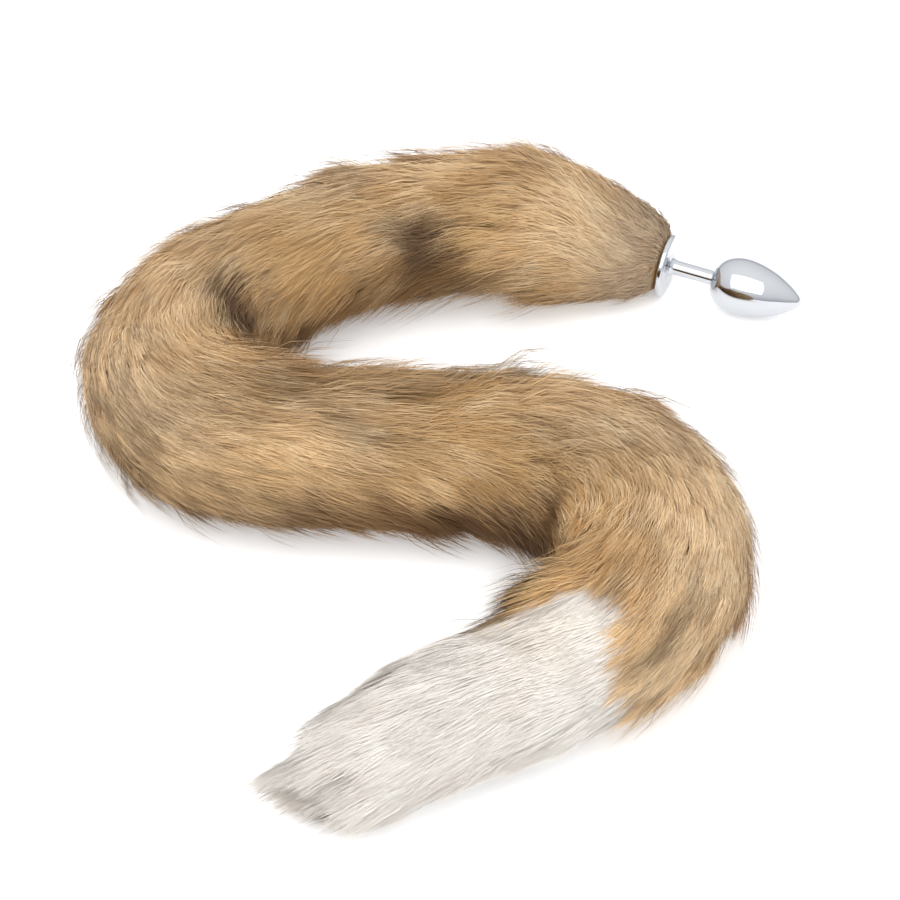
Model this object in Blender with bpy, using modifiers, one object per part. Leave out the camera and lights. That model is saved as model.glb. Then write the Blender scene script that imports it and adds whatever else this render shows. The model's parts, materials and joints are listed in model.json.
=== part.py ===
"""A fox tail on a metal plug: a turned plug whose flange carries a long two-tone fur tail.

The object lies on a flat surface, with the tail laid out in an S and the plug on its flange and
bulb. Metres, +Z up. The origin is on the surface, at the middle of the object's box.
"""

import math
import random

import bmesh
import bpy
from mathutils import Matrix, Vector

OBJECT_NAME = "fox_tail_plug"

# Clearance between pieces that touch
GAP = 0.0003

# Metal plug, turned about its own axis
FLANGE_DIAMETER = 0.0310
FLANGE_THICKNESS = 0.0030
FLANGE_EDGE_ROUND = 0.0012
NECK_DIAMETER = 0.0072
NECK_LENGTH = 0.0215
NECK_FILLET = 0.0036
BULB_DIAMETER = 0.0280
BULB_LENGTH = 0.0445
PLUG_HEADING = math.radians(-21.0)

# Hidden post that joins the tail to the plug
POST_PIN_DIAMETER = 0.0040
POST_PIN_LENGTH = 0.0050
POST_STUB_DIAMETER = 0.0090
POST_STUB_LENGTH = 0.0220

# Fur tail
TAIL_LENGTH = 0.770
FUR_WIDTH = 0.084
FUR_HEIGHT = 0.068
FUR_REST_HEIGHT = 0.031
FUR_ROOT_INSET = 0.0020
FUR_ROOT_DIAMETER = FLANGE_DIAMETER - 2.0 * FUR_ROOT_INSET
FLARE_LENGTH = 0.046
RISE_LENGTH = 0.060
WHITE_LENGTH = 0.160

# Where the middle line starts to sink towards the tip, and by how much, as shares
SINK_START = 0.86
SINK = 0.45

# How hard the fur is squeezed on the inner side of a bend, and how sudden that is
BEND_SQUEEZE = 1.13
BEND_POWER = 6

# Depth of the fur under the middle line, as a share of the line's height above the floor
FLOOR_SPREAD = 1.12

# Locks of fur
LOCKS_ROUND = 14
BODY_ROWS = 27
TIP_ROWS = 6
ROW_GROWTH = 1.22
BODY_LOCK_SEED = 11
TIP_LOCK_SEED = 14

# A row's surface, its hollow under the row before and its crests and furrows, as shares of depth
ROW_REACH = 0.97
UNDERCUT = 0.12
CREST_RISE = 0.04
CREST_FURROW = 0.03
TIP_RISE = 0.05
TIP_FURROW = 0.06

# Where a row's crests and plain ends stand, and how long its locks are, as shares of its pitch
CREST_PLACE = 0.42
PLAIN_END = 0.75
LOCK_LENGTHS = (1.14, 1.42)

# Chance in a lock's height as a share, and in its heading in radians
LOCK_HEIGHTS = (0.97, 1.03)
LOCK_SWAY = 0.07

# Sine of the angle round the tail where locks start to stand, and the span to their full height
LOCK_START = -0.86
LOCK_SPAN = 0.42

# Rings that close the fur's ends, as shares of its depth
BODY_END_RINGS = (0.80, 0.42)
TIP_START_RINGS = (0.42, 0.78)
TIP_END_RINGS = (0.72, 0.36)

# Length of the brush end past the last row, in rows
BRUSH_END = 0.3

# Steps round a turned piece and round an arc, and the span over which turned points are merged
TURNED_STEPS = 44
ARC_STEPS = 6
MERGE_SPAN = 0.00001

# share of the fur's depth, waves along the tail in radians, waves round it, start in radians
SWELLS = (
    (0.022, 41.0, 2.0, 0.7),
    (0.018, 73.0, -3.0, 2.1),
    (0.012, 131.0, 1.0, 0.0),
)

# share of the bulb's length from the neck, share of its radius
BULB_SECTIONS = (
    (0.015, 0.44),
    (0.04, 0.60),
    (0.09, 0.76),
    (0.16, 0.89),
    (0.24, 0.97),
    (0.33, 1.00),
    (0.42, 0.985),
    (0.52, 0.93),
    (0.62, 0.84),
    (0.72, 0.72),
    (0.81, 0.57),
    (0.89, 0.41),
    (0.95, 0.26),
    (0.985, 0.14),
)

# share of the tail's length, turn since the flange in degrees, to the left as it grows
TAIL_ROUTE = (
    (0.00, 0.0),
    (0.04, 4.0),
    (0.09, 17.0),
    (0.14, 31.0),
    (0.20, 47.0),
    (0.26, 59.0),
    (0.32, 76.0),
    (0.37, 121.0),
    (0.42, 174.0),
    (0.47, 192.0),
    (0.53, 198.0),
    (0.60, 188.0),
    (0.65, 162.0),
    (0.70, 125.0),
    (0.75, 86.0),
    (0.80, 55.0),
    (0.85, 47.0),
    (0.91, 49.0),
    (1.00, 50.0),
)

# share of the tail's length, shares of the fur's width on its right and left, of its height
TAIL_SECTIONS = (
    (0.00, 0.95, 0.95, 0.95),
    (0.05, 0.95, 1.06, 0.95),
    (0.10, 0.94, 1.06, 0.94),
    (0.16, 0.93, 0.98, 0.94),
    (0.22, 0.95, 0.97, 0.95),
    (0.30, 0.99, 0.99, 0.95),
    (0.36, 1.10, 1.00, 0.95),
    (0.41, 1.12, 1.00, 0.97),
    (0.46, 1.04, 1.00, 1.00),
    (0.52, 1.00, 1.00, 1.02),
    (0.58, 1.00, 1.05, 1.03),
    (0.65, 1.02, 1.16, 1.04),
    (0.70, 1.05, 1.16, 1.04),
    (0.75, 1.03, 1.06, 1.02),
    (0.80, 0.99, 0.96, 0.97),
    (0.88, 0.85, 0.81, 0.85),
    (0.94, 0.70, 0.64, 0.68),
    (0.98, 0.54, 0.46, 0.49),
    (1.00, 0.40, 0.34, 0.36),
)

# Stretch on each side of the seam that slants with it, as a share of the white fur's length
SEAM_REACH = 0.8

# angle round the tail in degrees, seam's offset as a share of the white fur's length
SEAM_OFFSETS = (
    (-180.0, 0.07),
    (-90.0, 0.05),
    (-30.0, 0.10),
    (10.0, 0.22),
    (45.0, 0.26),
    (62.0, 0.00),
    (75.0, -0.05),
    (95.0, -0.02),
    (125.0, 0.07),
    (150.0, 0.09),
    (180.0, 0.07),
)


def smooth(value):
    """Eases a share from 0 to 1, level at both ends."""
    share = min(1.0, max(0.0, value))
    return share * share * (3.0 - 2.0 * share)


def column(table, place, index):
    """Reads one column of a table at a place in its first column, straight between rows."""
    if place <= table[0][0]:
        return table[0][index]
    for low, high in zip(table, table[1:]):
        if place <= high[0]:
            share = (place - low[0]) / (high[0] - low[0])
            return low[index] + (high[index] - low[index]) * share
    return table[-1][index]


def clear_scene():
    for item in list(bpy.data.objects):
        bpy.data.objects.remove(item, do_unlink=True)


def make_material(name, colour, roughness, metallic):
    material = bpy.data.materials.new(name)
    material.use_nodes = True
    shader = material.node_tree.nodes["Principled BSDF"]
    shader.inputs["Base Color"].default_value = (*colour, 1.0)
    shader.inputs["Roughness"].default_value = roughness
    shader.inputs["Metallic"].default_value = metallic
    return material


def add_turned(name, profile, placement, material, collection):
    """Turns a profile of (radius, height) points, from the top down its outer side."""
    mesh = bpy.data.meshes.new(name)
    points = [(radius, 0.0, height) for radius, height in profile]
    edges = [(i, i + 1) for i in range(len(points) - 1)]
    mesh.from_pydata(points, edges, [])
    mesh.materials.append(material)
    item = bpy.data.objects.new(name, mesh)
    collection.objects.link(item)
    item.matrix_world = placement
    screw = item.modifiers.new("turn", "SCREW")
    screw.axis = "Z"
    screw.angle = math.tau
    screw.steps = TURNED_STEPS
    screw.render_steps = TURNED_STEPS
    screw.use_merge_vertices = True
    screw.merge_threshold = MERGE_SPAN
    screw.use_smooth_shade = True
    return item


def arc(centre, radius, start, end, steps=ARC_STEPS):
    """Points of an arc about (radius, height) centre, its angles in degrees."""
    points = []
    for i in range(steps + 1):
        angle = math.radians(start + (end - start) * i / steps)
        points.append((centre[0] + radius * math.cos(angle), centre[1] + radius * math.sin(angle)))
    return points


def bulb_profile():
    """The bulb from its tip back to the neck."""
    base = FLANGE_THICKNESS + NECK_LENGTH
    points = [(0.0, base + BULB_LENGTH)]
    for along, wide in reversed(BULB_SECTIONS):
        radius = max(wide * BULB_DIAMETER / 2, NECK_DIAMETER / 2 + GAP)
        points.append((radius, base + along * BULB_LENGTH))
    points.append((NECK_DIAMETER / 2, base))
    return points


def flange_profile():
    """The neck's foot, the flat stop face, the rounded rim and the back with the pin's hole."""
    neck_radius = NECK_DIAMETER / 2
    rim_centre = FLANGE_DIAMETER / 2 - FLANGE_EDGE_ROUND
    hole_radius = POST_PIN_DIAMETER / 2 + GAP
    hole_depth = POST_PIN_LENGTH + GAP
    fillet_centre = (neck_radius + NECK_FILLET, FLANGE_THICKNESS + NECK_FILLET)
    points = arc(fillet_centre, NECK_FILLET, 180.0, 270.0)
    points += arc((rim_centre, FLANGE_THICKNESS - FLANGE_EDGE_ROUND), FLANGE_EDGE_ROUND, 90.0, 0.0)
    points += arc((rim_centre, FLANGE_EDGE_ROUND), FLANGE_EDGE_ROUND, 0.0, -90.0)
    points.append((hole_radius, 0.0))
    points.append((hole_radius, hole_depth))
    points.append((0.0, hole_depth))
    return points


def resting_tilt():
    """The angle that the axis drops towards the bulb when the flange and bulb touch the floor."""
    rim_height = FLANGE_THICKNESS - FLANGE_EDGE_ROUND
    rim_radius = FLANGE_DIAMETER / 2
    steepest = max(
        (radius - rim_radius) / (height - rim_height) for radius, height in bulb_profile()
    )
    return math.atan(-steepest)


def plug_direction():
    """Unit vector along the plug's axis, from the flange to the bulb's tip."""
    tilt = resting_tilt()
    level = math.cos(tilt)
    return Vector((level * math.cos(PLUG_HEADING), level * math.sin(PLUG_HEADING), -math.sin(tilt)))


def flange_height():
    """Height of the middle of the flange's back above the floor."""
    tilt = resting_tilt()
    lowest = min(
        -height * math.sin(tilt) - radius * math.cos(tilt)
        for radius, height in bulb_profile() + flange_profile()
    )
    return -lowest


def plug_placement():
    """Puts a turned piece's foot at the flange's back and its height along the plug's axis."""
    along = plug_direction()
    turn = Vector((0.0, 0.0, 1.0)).rotation_difference(along).to_matrix().to_4x4()
    return Matrix.Translation((0.0, 0.0, flange_height())) @ turn


class TailLine:
    """The tail's middle line: place, heading and bend at each distance from the flange."""

    STEPS = 800
    LEVELLED = 17
    BEND_REACH = 4

    def __init__(self):
        self.step = TAIL_LENGTH / self.STEPS
        first = math.degrees(PLUG_HEADING) + 180.0
        raw = [first + column(TAIL_ROUTE, i / self.STEPS, 1) for i in range(self.STEPS + 1)]
        self.headings = self.level_out(self.level_out(raw))
        back = -plug_direction()
        self.start = Vector((0.0, 0.0, flange_height())) + back * GAP
        self.points = [Vector((self.start.x, self.start.y))]
        for heading in self.headings[:-1]:
            angle = math.radians(heading)
            ahead = Vector((math.cos(angle), math.sin(angle))) * self.step
            self.points.append(self.points[-1] + ahead)

    def level_out(self, values):
        """Averages the headings over a short stretch, so that the bends run into each other."""
        result = []
        for i in range(len(values)):
            reach = min(self.LEVELLED, i, len(values) - 1 - i)
            window = values[i - reach : i + reach + 1]
            result.append(sum(window) / len(window))
        return result

    def at(self, distance):
        """Place, heading in radians and bend per metre at a distance."""
        place = min(max(distance / self.step, 0.0), self.STEPS - 1e-6)
        index = int(place)
        share = place - index
        point = self.points[index].lerp(self.points[index + 1], share)
        heading = math.radians(self.headings[index] * (1 - share) + self.headings[index + 1] * share)
        low = max(0, index - self.BEND_REACH)
        high = min(self.STEPS, index + self.BEND_REACH + 1)
        turn = math.radians(self.headings[high] - self.headings[low])
        beyond = distance - place * self.step
        ahead = Vector((math.cos(heading), math.sin(heading))) * beyond
        return point + ahead, heading, turn / ((high - low) * self.step)

    def height(self, distance):
        """Height of the middle line: level with the post, then the fur's own, and lower at the tip."""
        rise = smooth((distance - POST_STUB_LENGTH / 2) / RISE_LENGTH)
        sink = smooth((distance / TAIL_LENGTH - SINK_START) / (1.0 - SINK_START))
        return (self.start.z + (FUR_REST_HEIGHT - self.start.z) * rise) * (1.0 - sink * SINK)


def seam_offset(angle):
    """How far the change to white fur lies past its mean place, round the tail."""
    degrees = math.degrees(math.atan2(math.sin(angle), math.cos(angle)))
    return column(SEAM_OFFSETS, degrees, 1) * WHITE_LENGTH


def shifted(distance, angle):
    """A distance along the tail, moved with the slanting seam where that is near."""
    away = abs(distance - (TAIL_LENGTH - WHITE_LENGTH))
    return distance + seam_offset(angle) * (1.0 - smooth(away / (SEAM_REACH * WHITE_LENGTH)))


def fur_point(line, distance, angle, reach):
    """A point of the fur at a distance along the tail, an angle round it and a share of its depth.

    Angle 0 is the tail's right side and a quarter turn is its top. The fur is squeezed on the
    inner side of a bend and lies flat on the floor.
    """
    place, heading, bend = line.at(distance)
    share = distance / TAIL_LENGTH
    opened = min(1.0, max(0.0, distance / FLARE_LENGTH))
    flare = math.sqrt(1.0 - (1.0 - opened) ** 2)
    root = FUR_ROOT_DIAMETER / 2
    middle = line.height(distance)
    sideways = math.cos(angle)
    upwards = math.sin(angle)
    wide = column(TAIL_SECTIONS, share, 1 if sideways > 0.0 else 2)
    half_width = root + (FUR_WIDTH / 2 * wide - root) * flare
    half_height = root + (FUR_HEIGHT / 2 * column(TAIL_SECTIONS, share, 3) - root) * flare
    inner = sideways * bend < 0.0
    if inner:
        squeeze = abs(bend) * half_width * BEND_SQUEEZE
        half_width /= (1.0 + squeeze**BEND_POWER) ** (1.0 / BEND_POWER)
    if upwards < 0.0:
        low = min(half_height, middle * FLOOR_SPREAD)
        low += (root - low) * (1.0 - flare)
        half_height = low
    across = sideways * half_width * reach
    height = max(0.0, middle + upwards * half_height * reach)
    right = Vector((math.sin(heading), -math.cos(heading)))
    ahead = Vector((math.cos(heading), math.sin(heading)))
    square = 1.0 - smooth(distance / RISE_LENGTH)
    lean = -(height - line.start.z) * math.tan(resting_tilt()) * square
    point = place + right * across + ahead * lean
    return Vector((point.x, point.y, height))


def swell(distance, angle):
    """Slow unevenness of the fur's depth, as a share."""
    share = distance / TAIL_LENGTH
    return sum(
        depth * math.sin(along * share + around * angle + start)
        for depth, along, around, start in SWELLS
    )


def lock_weight(angle):
    """How freely the locks stand: fully on top and at the sides, not at all on the floor."""
    return smooth((math.sin(angle) - LOCK_START) / LOCK_SPAN)


def rings_of_locks(line, starts, stagger, dice):
    """Three rings of points for each row of locks: under the last row, crest and tips.

    starts holds the distance where each row begins, and one more for the last row's end.
    """
    count = LOCKS_ROUND * 2
    rings = []
    for row, (begin, end) in enumerate(zip(starts, starts[1:])):
        pitch = end - begin
        under, crest, tips = [], [], []
        for i in range(count):
            angle = math.tau * (i + 0.5) / count
            weight = lock_weight(angle)
            lock = (i + row + stagger) % 2 == 0
            depth = dice.uniform(*LOCK_HEIGHTS)
            longer = dice.uniform(*LOCK_LENGTHS)
            sway = dice.uniform(-LOCK_SWAY, LOCK_SWAY)
            full = 1.0 + swell(begin, angle)
            under_reach = ROW_REACH - UNDERCUT * weight
            crest_reach = ROW_REACH + (CREST_RISE if lock else -CREST_FURROW) * weight * depth
            tip_reach = ROW_REACH + (TIP_RISE if lock else -TIP_FURROW) * weight
            tip_along = PLAIN_END + ((longer - PLAIN_END) if lock else 0.0) * weight
            places = (begin, begin + CREST_PLACE * pitch, begin + tip_along * pitch)
            base, middle, tip = (shifted(place, angle) for place in places)
            under.append(fur_point(line, base, angle, under_reach * full))
            crest.append(fur_point(line, middle, angle, crest_reach * full))
            tips.append(fur_point(line, tip, angle + sway * weight, tip_reach * full))
        rings += [under, crest, tips]
    return rings


def closing_rings(line, distance, reaches, along=0.0, seamed=True):
    """Smaller and smaller rings that close an end of the fur, each a share of its depth."""
    count = LOCKS_ROUND * 2
    rings = []
    for reach in reaches:
        ring = []
        for i in range(count):
            angle = math.tau * (i + 0.5) / count
            shift = seam_offset(angle) * min(1.0, reach / max(reaches)) if seamed else 0.0
            ring.append(fur_point(line, distance + shift + along, angle, reach))
        rings.append(ring)
    return rings


def bore_rings(line):
    """The blind hole for the post, from its mouth at the flange to its closed end."""
    count = LOCKS_ROUND * 2
    inwards = -plug_direction()
    side = Vector((-inwards.y, inwards.x, 0.0)).normalized()
    upwards = side.cross(inwards).normalized()
    if upwards.z < 0.0:
        upwards = -upwards
    right = Vector((inwards.y, -inwards.x, 0.0)).normalized()
    radius = POST_STUB_DIAMETER / 2 + GAP
    rings = []
    for depth in (0.0, POST_STUB_LENGTH + GAP):
        ring = []
        for i in range(count):
            angle = math.tau * (i + 0.5) / count
            out = right * math.cos(angle) + upwards * math.sin(angle)
            ring.append(line.start + inwards * depth + out * radius)
        rings.append(ring)
    return rings


def add_loft(name, rings, material, collection):
    """Joins rings of equal count with faces and closes both ends on a middle point."""
    count = len(rings[0])
    vertices = [point for ring in rings for point in ring]
    faces = []
    for row in range(len(rings) - 1):
        for i in range(count):
            j = (i + 1) % count
            a = row * count + i
            b = row * count + j
            c = (row + 1) * count + j
            d = (row + 1) * count + i
            if (i + row) % 2 == 0:
                faces += [(a, b, c), (a, c, d)]
            else:
                faces += [(a, b, d), (b, c, d)]
    for ring, turned in ((0, True), (len(rings) - 1, False)):
        middle = sum(rings[ring], Vector((0.0, 0.0, 0.0))) / count
        vertices.append(middle)
        for i in range(count):
            first = ring * count + i
            second = ring * count + (i + 1) % count
            corner = (second, first) if turned else (first, second)
            faces.append((*corner, len(vertices) - 1))
    mesh = bpy.data.meshes.new(name)
    mesh.from_pydata(vertices, [], faces)
    mesh.materials.append(material)
    shape = bmesh.new()
    shape.from_mesh(mesh)
    bmesh.ops.recalc_face_normals(shape, faces=shape.faces)
    shape.to_mesh(mesh)
    shape.free()
    mesh.shade_smooth()
    item = bpy.data.objects.new(name, mesh)
    collection.objects.link(item)
    return item


def build_plug(collection):
    metal = make_material("polished_metal", (0.86, 0.87, 0.89), 0.08, 1.0)
    add_turned("plug", bulb_profile() + flange_profile(), plug_placement(), metal, collection)


def build_post(collection):
    metal = make_material("post_metal", (0.55, 0.56, 0.58), 0.35, 1.0)
    pin = POST_PIN_DIAMETER / 2
    stub = POST_STUB_DIAMETER / 2
    foot = -GAP - POST_STUB_LENGTH
    profile = [(0.0, POST_PIN_LENGTH), (pin, POST_PIN_LENGTH), (pin, -GAP)]
    profile += [(stub, -GAP), (stub, foot), (0.0, foot)]
    add_turned("tail_post", profile, plug_placement(), metal, collection)


def build_tail_body(line, collection):
    """The tan fur: the bore, the face at the flange, the rows of locks and the seam."""
    fur = make_material("tan_fur", (0.50, 0.31, 0.15), 0.9, 0.0)
    dice = random.Random(BODY_LOCK_SEED)
    length = TAIL_LENGTH - WHITE_LENGTH
    starts = [length * (row / BODY_ROWS) ** ROW_GROWTH for row in range(BODY_ROWS + 1)]
    rings = list(reversed(bore_rings(line)))
    root = [fur_point(line, 0.0, math.tau * (i + 0.5) / (LOCKS_ROUND * 2), 1.0)
            for i in range(LOCKS_ROUND * 2)]
    rings.append(root)
    rings += rings_of_locks(line, starts, 0, dice)[1:]
    rings += closing_rings(line, length, BODY_END_RINGS)
    add_loft("tail_body", rings, fur, collection)


def build_tail_tip(line, collection):
    """The white fur: the seam's inner face, the rows of locks and the brush end."""
    fur = make_material("white_fur", (0.86, 0.83, 0.78), 0.9, 0.0)
    dice = random.Random(TIP_LOCK_SEED)
    begin = TAIL_LENGTH - WHITE_LENGTH
    pitch = WHITE_LENGTH / (TIP_ROWS + BRUSH_END)
    starts = [begin + pitch * row for row in range(TIP_ROWS + 1)]
    rings = closing_rings(line, begin, TIP_START_RINGS, along=GAP * 2.0)
    rings += rings_of_locks(line, starts, BODY_ROWS, dice)[1:]
    rings += closing_rings(line, starts[-1], TIP_END_RINGS, seamed=False)
    add_loft("tail_tip", rings, fur, collection)


def stand_at_origin(collection):
    """Moves every piece so that the origin is on the floor, at the middle of the object's box."""
    bpy.context.view_layer.update()
    corners = []
    graph = bpy.context.evaluated_depsgraph_get()
    for item in collection.objects:
        shape = item.evaluated_get(graph)
        corners += [shape.matrix_world @ vertex.co for vertex in shape.data.vertices]
    low = [min(corner[axis] for corner in corners) for axis in range(3)]
    high = [max(corner[axis] for corner in corners) for axis in range(3)]
    shift = Vector((-(low[0] + high[0]) / 2, -(low[1] + high[1]) / 2, -low[2]))
    for item in collection.objects:
        item.matrix_world = Matrix.Translation(shift) @ item.matrix_world


def main():
    clear_scene()
    collection = bpy.data.collections.new(OBJECT_NAME)
    bpy.context.scene.collection.children.link(collection)
    line = TailLine()
    build_plug(collection)
    build_post(collection)
    build_tail_body(line, collection)
    build_tail_tip(line, collection)
    stand_at_origin(collection)


main()
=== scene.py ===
"""Dresses the fox tail plug: mirror-polished metal and long two-tone fur.

The fur is grown by Geometry Nodes on an underfur skin, in the straight frame of the tail
(across, along, up), and then bent along the tail's own path, so that it lies as the solid does.
"""

from __future__ import annotations

import json
import logging
import math
from dataclasses import dataclass, field
from enum import Enum

import bpy
import numpy as np
from mathutils import Matrix, Vector


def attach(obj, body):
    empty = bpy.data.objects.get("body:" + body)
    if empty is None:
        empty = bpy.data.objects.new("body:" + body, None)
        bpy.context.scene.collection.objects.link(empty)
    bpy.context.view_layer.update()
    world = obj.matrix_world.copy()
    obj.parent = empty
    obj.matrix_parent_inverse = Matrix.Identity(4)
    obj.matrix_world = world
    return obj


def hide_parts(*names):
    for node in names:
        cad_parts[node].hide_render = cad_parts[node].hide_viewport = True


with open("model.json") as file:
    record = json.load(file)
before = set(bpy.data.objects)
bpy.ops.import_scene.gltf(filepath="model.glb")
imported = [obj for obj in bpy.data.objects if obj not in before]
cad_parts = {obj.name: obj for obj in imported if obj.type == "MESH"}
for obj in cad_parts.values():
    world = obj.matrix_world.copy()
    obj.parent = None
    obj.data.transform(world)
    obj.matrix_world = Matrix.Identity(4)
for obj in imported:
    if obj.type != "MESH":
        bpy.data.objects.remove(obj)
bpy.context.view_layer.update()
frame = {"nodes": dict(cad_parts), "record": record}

LOG = logging.getLogger("fox_tail")
BODY = "root"
Socket = bpy.types.NodeSocket
Table = tuple[tuple[float, ...], ...]
Point = tuple[float, float]


class Side(Enum):
    """The two sides of the tail, looking from the plug towards the tip."""

    RIGHT = 1.0
    LEFT = -1.0


class Coat(Enum):
    """The two colours of fur, each with its CAD node and material slot."""

    TAN = ("tail_body", "tan_fur")
    WHITE = ("tail_tip", "white_fur")

    @property
    def node(self) -> str:
        """Name of the CAD node that the coat stands for."""
        return self.value[0]

    @property
    def slot(self) -> str:
        """Name of the record's material slot."""
        return self.value[1]


def ease(value: np.ndarray | float) -> np.ndarray:
    """Eases a share from 0 to 1, level at both ends.

    Args:
        value: Share, or shares, which may lie outside 0 to 1.

    Returns:
        The eased shares.
    """
    share = np.clip(value, 0.0, 1.0)
    return share * share * (3.0 - 2.0 * share)


def read_table(table: Table, place: np.ndarray, column: int) -> np.ndarray:
    """Reads a column of a table, straight between its rows.

    Args:
        table: Rows whose first column grows.
        place: Places in the first column.
        column: Index of the column to read.

    Returns:
        One value for each place.
    """
    rows = np.array(table)
    return np.interp(place, rows[:, 0], rows[:, column])


@dataclass(frozen=True)
class PlugSizes:
    """Sizes of the turned plug, in metres, as the solid has them."""

    flange_diameter: float = 0.0310
    flange_thickness: float = 0.0030
    flange_edge_round: float = 0.0012
    neck_diameter: float = 0.0072
    neck_length: float = 0.0215
    neck_fillet: float = 0.0036
    bulb_diameter: float = 0.0280
    bulb_length: float = 0.0445
    stop_point_radius: float = 0.0105
    gap: float = 0.0003


# share of the bulb's length from the neck, share of its radius
BULB_SECTIONS: Table = (
    (0.0, 0.26),
    (0.015, 0.44),
    (0.04, 0.60),
    (0.09, 0.76),
    (0.16, 0.89),
    (0.24, 0.97),
    (0.33, 1.00),
    (0.42, 0.985),
    (0.52, 0.93),
    (0.62, 0.84),
    (0.72, 0.72),
    (0.81, 0.57),
    (0.89, 0.41),
    (0.95, 0.26),
    (0.985, 0.14),
    (1.0, 0.0),
)

# share of the tail's length, turn since the flange in degrees, to the left as it grows
TAIL_ROUTE: Table = (
    (0.00, 0.0),
    (0.04, 4.0),
    (0.09, 17.0),
    (0.14, 31.0),
    (0.20, 47.0),
    (0.26, 59.0),
    (0.32, 76.0),
    (0.37, 121.0),
    (0.42, 174.0),
    (0.47, 192.0),
    (0.53, 198.0),
    (0.60, 188.0),
    (0.65, 162.0),
    (0.70, 125.0),
    (0.75, 86.0),
    (0.80, 55.0),
    (0.85, 47.0),
    (0.91, 49.0),
    (1.00, 50.0),
)

# share of the tail's length, shares of the fur's width on its right and left, of its height
TAIL_SECTIONS: Table = (
    (0.00, 0.95, 0.95, 0.95),
    (0.05, 0.95, 1.06, 0.95),
    (0.10, 0.94, 1.06, 0.94),
    (0.16, 0.93, 0.98, 0.94),
    (0.22, 0.95, 0.97, 0.95),
    (0.30, 0.99, 0.99, 0.95),
    (0.36, 1.10, 1.00, 0.95),
    (0.41, 1.12, 1.00, 0.97),
    (0.46, 1.04, 1.00, 1.00),
    (0.52, 1.00, 1.00, 1.02),
    (0.58, 1.00, 1.05, 1.03),
    (0.65, 1.02, 1.16, 1.04),
    (0.70, 1.05, 1.16, 1.04),
    (0.75, 1.03, 1.06, 1.02),
    (0.80, 0.99, 0.96, 0.97),
    (0.88, 0.85, 0.81, 0.85),
    (0.94, 0.70, 0.64, 0.68),
    (0.98, 0.54, 0.46, 0.49),
    (1.00, 0.40, 0.34, 0.36),
)

# angle round the tail in degrees, seam's offset as a share of the white fur's length
SEAM_OFFSETS: Table = (
    (-180.0, 0.07),
    (-90.0, 0.05),
    (-30.0, 0.10),
    (10.0, 0.22),
    (45.0, 0.26),
    (62.0, 0.00),
    (75.0, -0.05),
    (95.0, -0.02),
    (125.0, 0.07),
    (150.0, 0.09),
    (180.0, 0.07),
)

# the fur's own dark streaks, and painted shade in the creases of the bends and on the undersides
# distance along the tail in metres, angle round it in degrees, half length in metres,
# half width in degrees, slant in degrees per metre, strength
DARK_STREAKS_AND_PAINTED_SHADE: Table = (
    (0.122, 152.0, 0.020, 26.0, -500.0, 1.50),
    (0.142, 138.0, 0.014, 12.0, -400.0, 0.45),
    (0.250, 124.0, 0.017, 19.0, 900.0, 1.80),
    (0.236, 150.0, 0.020, 12.0, 900.0, 0.65),
    (0.215, 186.0, 0.030, 20.0, 0.0, 0.60),
    (0.350, 96.0, 0.028, 7.0, -700.0, 0.60),
    (0.385, 72.0, 0.030, 7.0, -500.0, 0.60),
    (0.402, 100.0, 0.036, 9.0, -200.0, 0.35),
    (0.450, 0.0, 0.050, 22.0, 0.0, 0.90),
    (0.478, 2.0, 0.030, 24.0, 0.0, 0.95),
    (0.498, 24.0, 0.013, 16.0, -1500.0, 0.95),
    (0.451, 130.0, 0.018, 12.0, 0.0, 0.85),
    (0.470, 84.0, 0.020, 5.0, -300.0, 0.40),
    (0.594, 80.0, 0.016, 6.0, 300.0, 0.60),
    (0.602, 134.0, 0.022, 7.0, 400.0, 0.75),
    (0.560, 92.0, 0.026, 6.0, 200.0, 0.35),
    (0.632, 24.0, 0.050, 17.0, 0.0, 1.30),
    (0.634, -2.0, 0.040, 18.0, 0.0, 1.40),
    (0.252, 196.0, 0.030, 20.0, 0.0, 0.60),
)

# height, turns with the share of the tail's length and with the angle round it, shift
SKIN_WAVES: Table = (
    (0.022, 41.0, 2.0, 0.7),
    (0.018, 73.0, -3.0, 2.1),
)

# the same columns as the skin's waves
COMB_WAVES: Table = (
    (0.20, 29.0, 2.0, 1.1),
    (0.16, 67.0, -3.0, 0.4),
    (0.10, 113.0, 5.0, 0.0),
)

# share of the tail's length, strength of the painted shade underneath, strength of the brown on top
PAINTED_UNDER_SHADE_AND_BROWN: Table = (
    (0.00, 0.50, 0.60),
    (0.10, 0.80, 0.80),
    (0.15, 1.05, 1.25),
    (0.28, 0.90, 1.05),
    (0.36, 0.50, 0.85),
    (0.46, 1.20, 1.60),
    (0.60, 1.25, 1.75),
    (0.65, 0.60, 1.30),
    (0.70, 0.00, 0.35),
    (0.80, 0.00, 0.10),
    (0.88, 0.30, 0.25),
    (1.00, 0.55, 0.50),
)

# the same columns as the dark streaks and painted shade, with shares of the skin's depth in place of
# strengths
SKIN_SWELLS: Table = (
    (0.606, 26.0, 0.030, 26.0, 0.0, 0.16),
    (0.065, -170.0, 0.026, 40.0, 0.0, 0.11),
    (0.180, 42.0, 0.075, 50.0, 0.0, -0.07),
    (0.100, 45.0, 0.032, 45.0, 0.0, -0.11),
    (0.046, -170.0, 0.018, 40.0, 0.0, 0.10),
    (0.335, 0.0, 0.034, 42.0, 0.0, 0.19),
    (0.500, 152.0, 0.034, 44.0, 0.0, 0.17),
    (0.600, 172.0, 0.034, 44.0, 0.0, -0.20),
    (0.655, -175.0, 0.030, 45.0, 0.0, -0.07),
    (0.745, -165.0, 0.022, 50.0, 0.0, -0.12),
)

# the same columns as the dark streaks and painted shade: hair that stands up
TUFTS: Table = (
    (0.440, 122.0, 0.016, 22.0, 0.0, 1.0),
    (0.130, 60.0, 0.012, 20.0, 0.0, 0.4),
)
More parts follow.
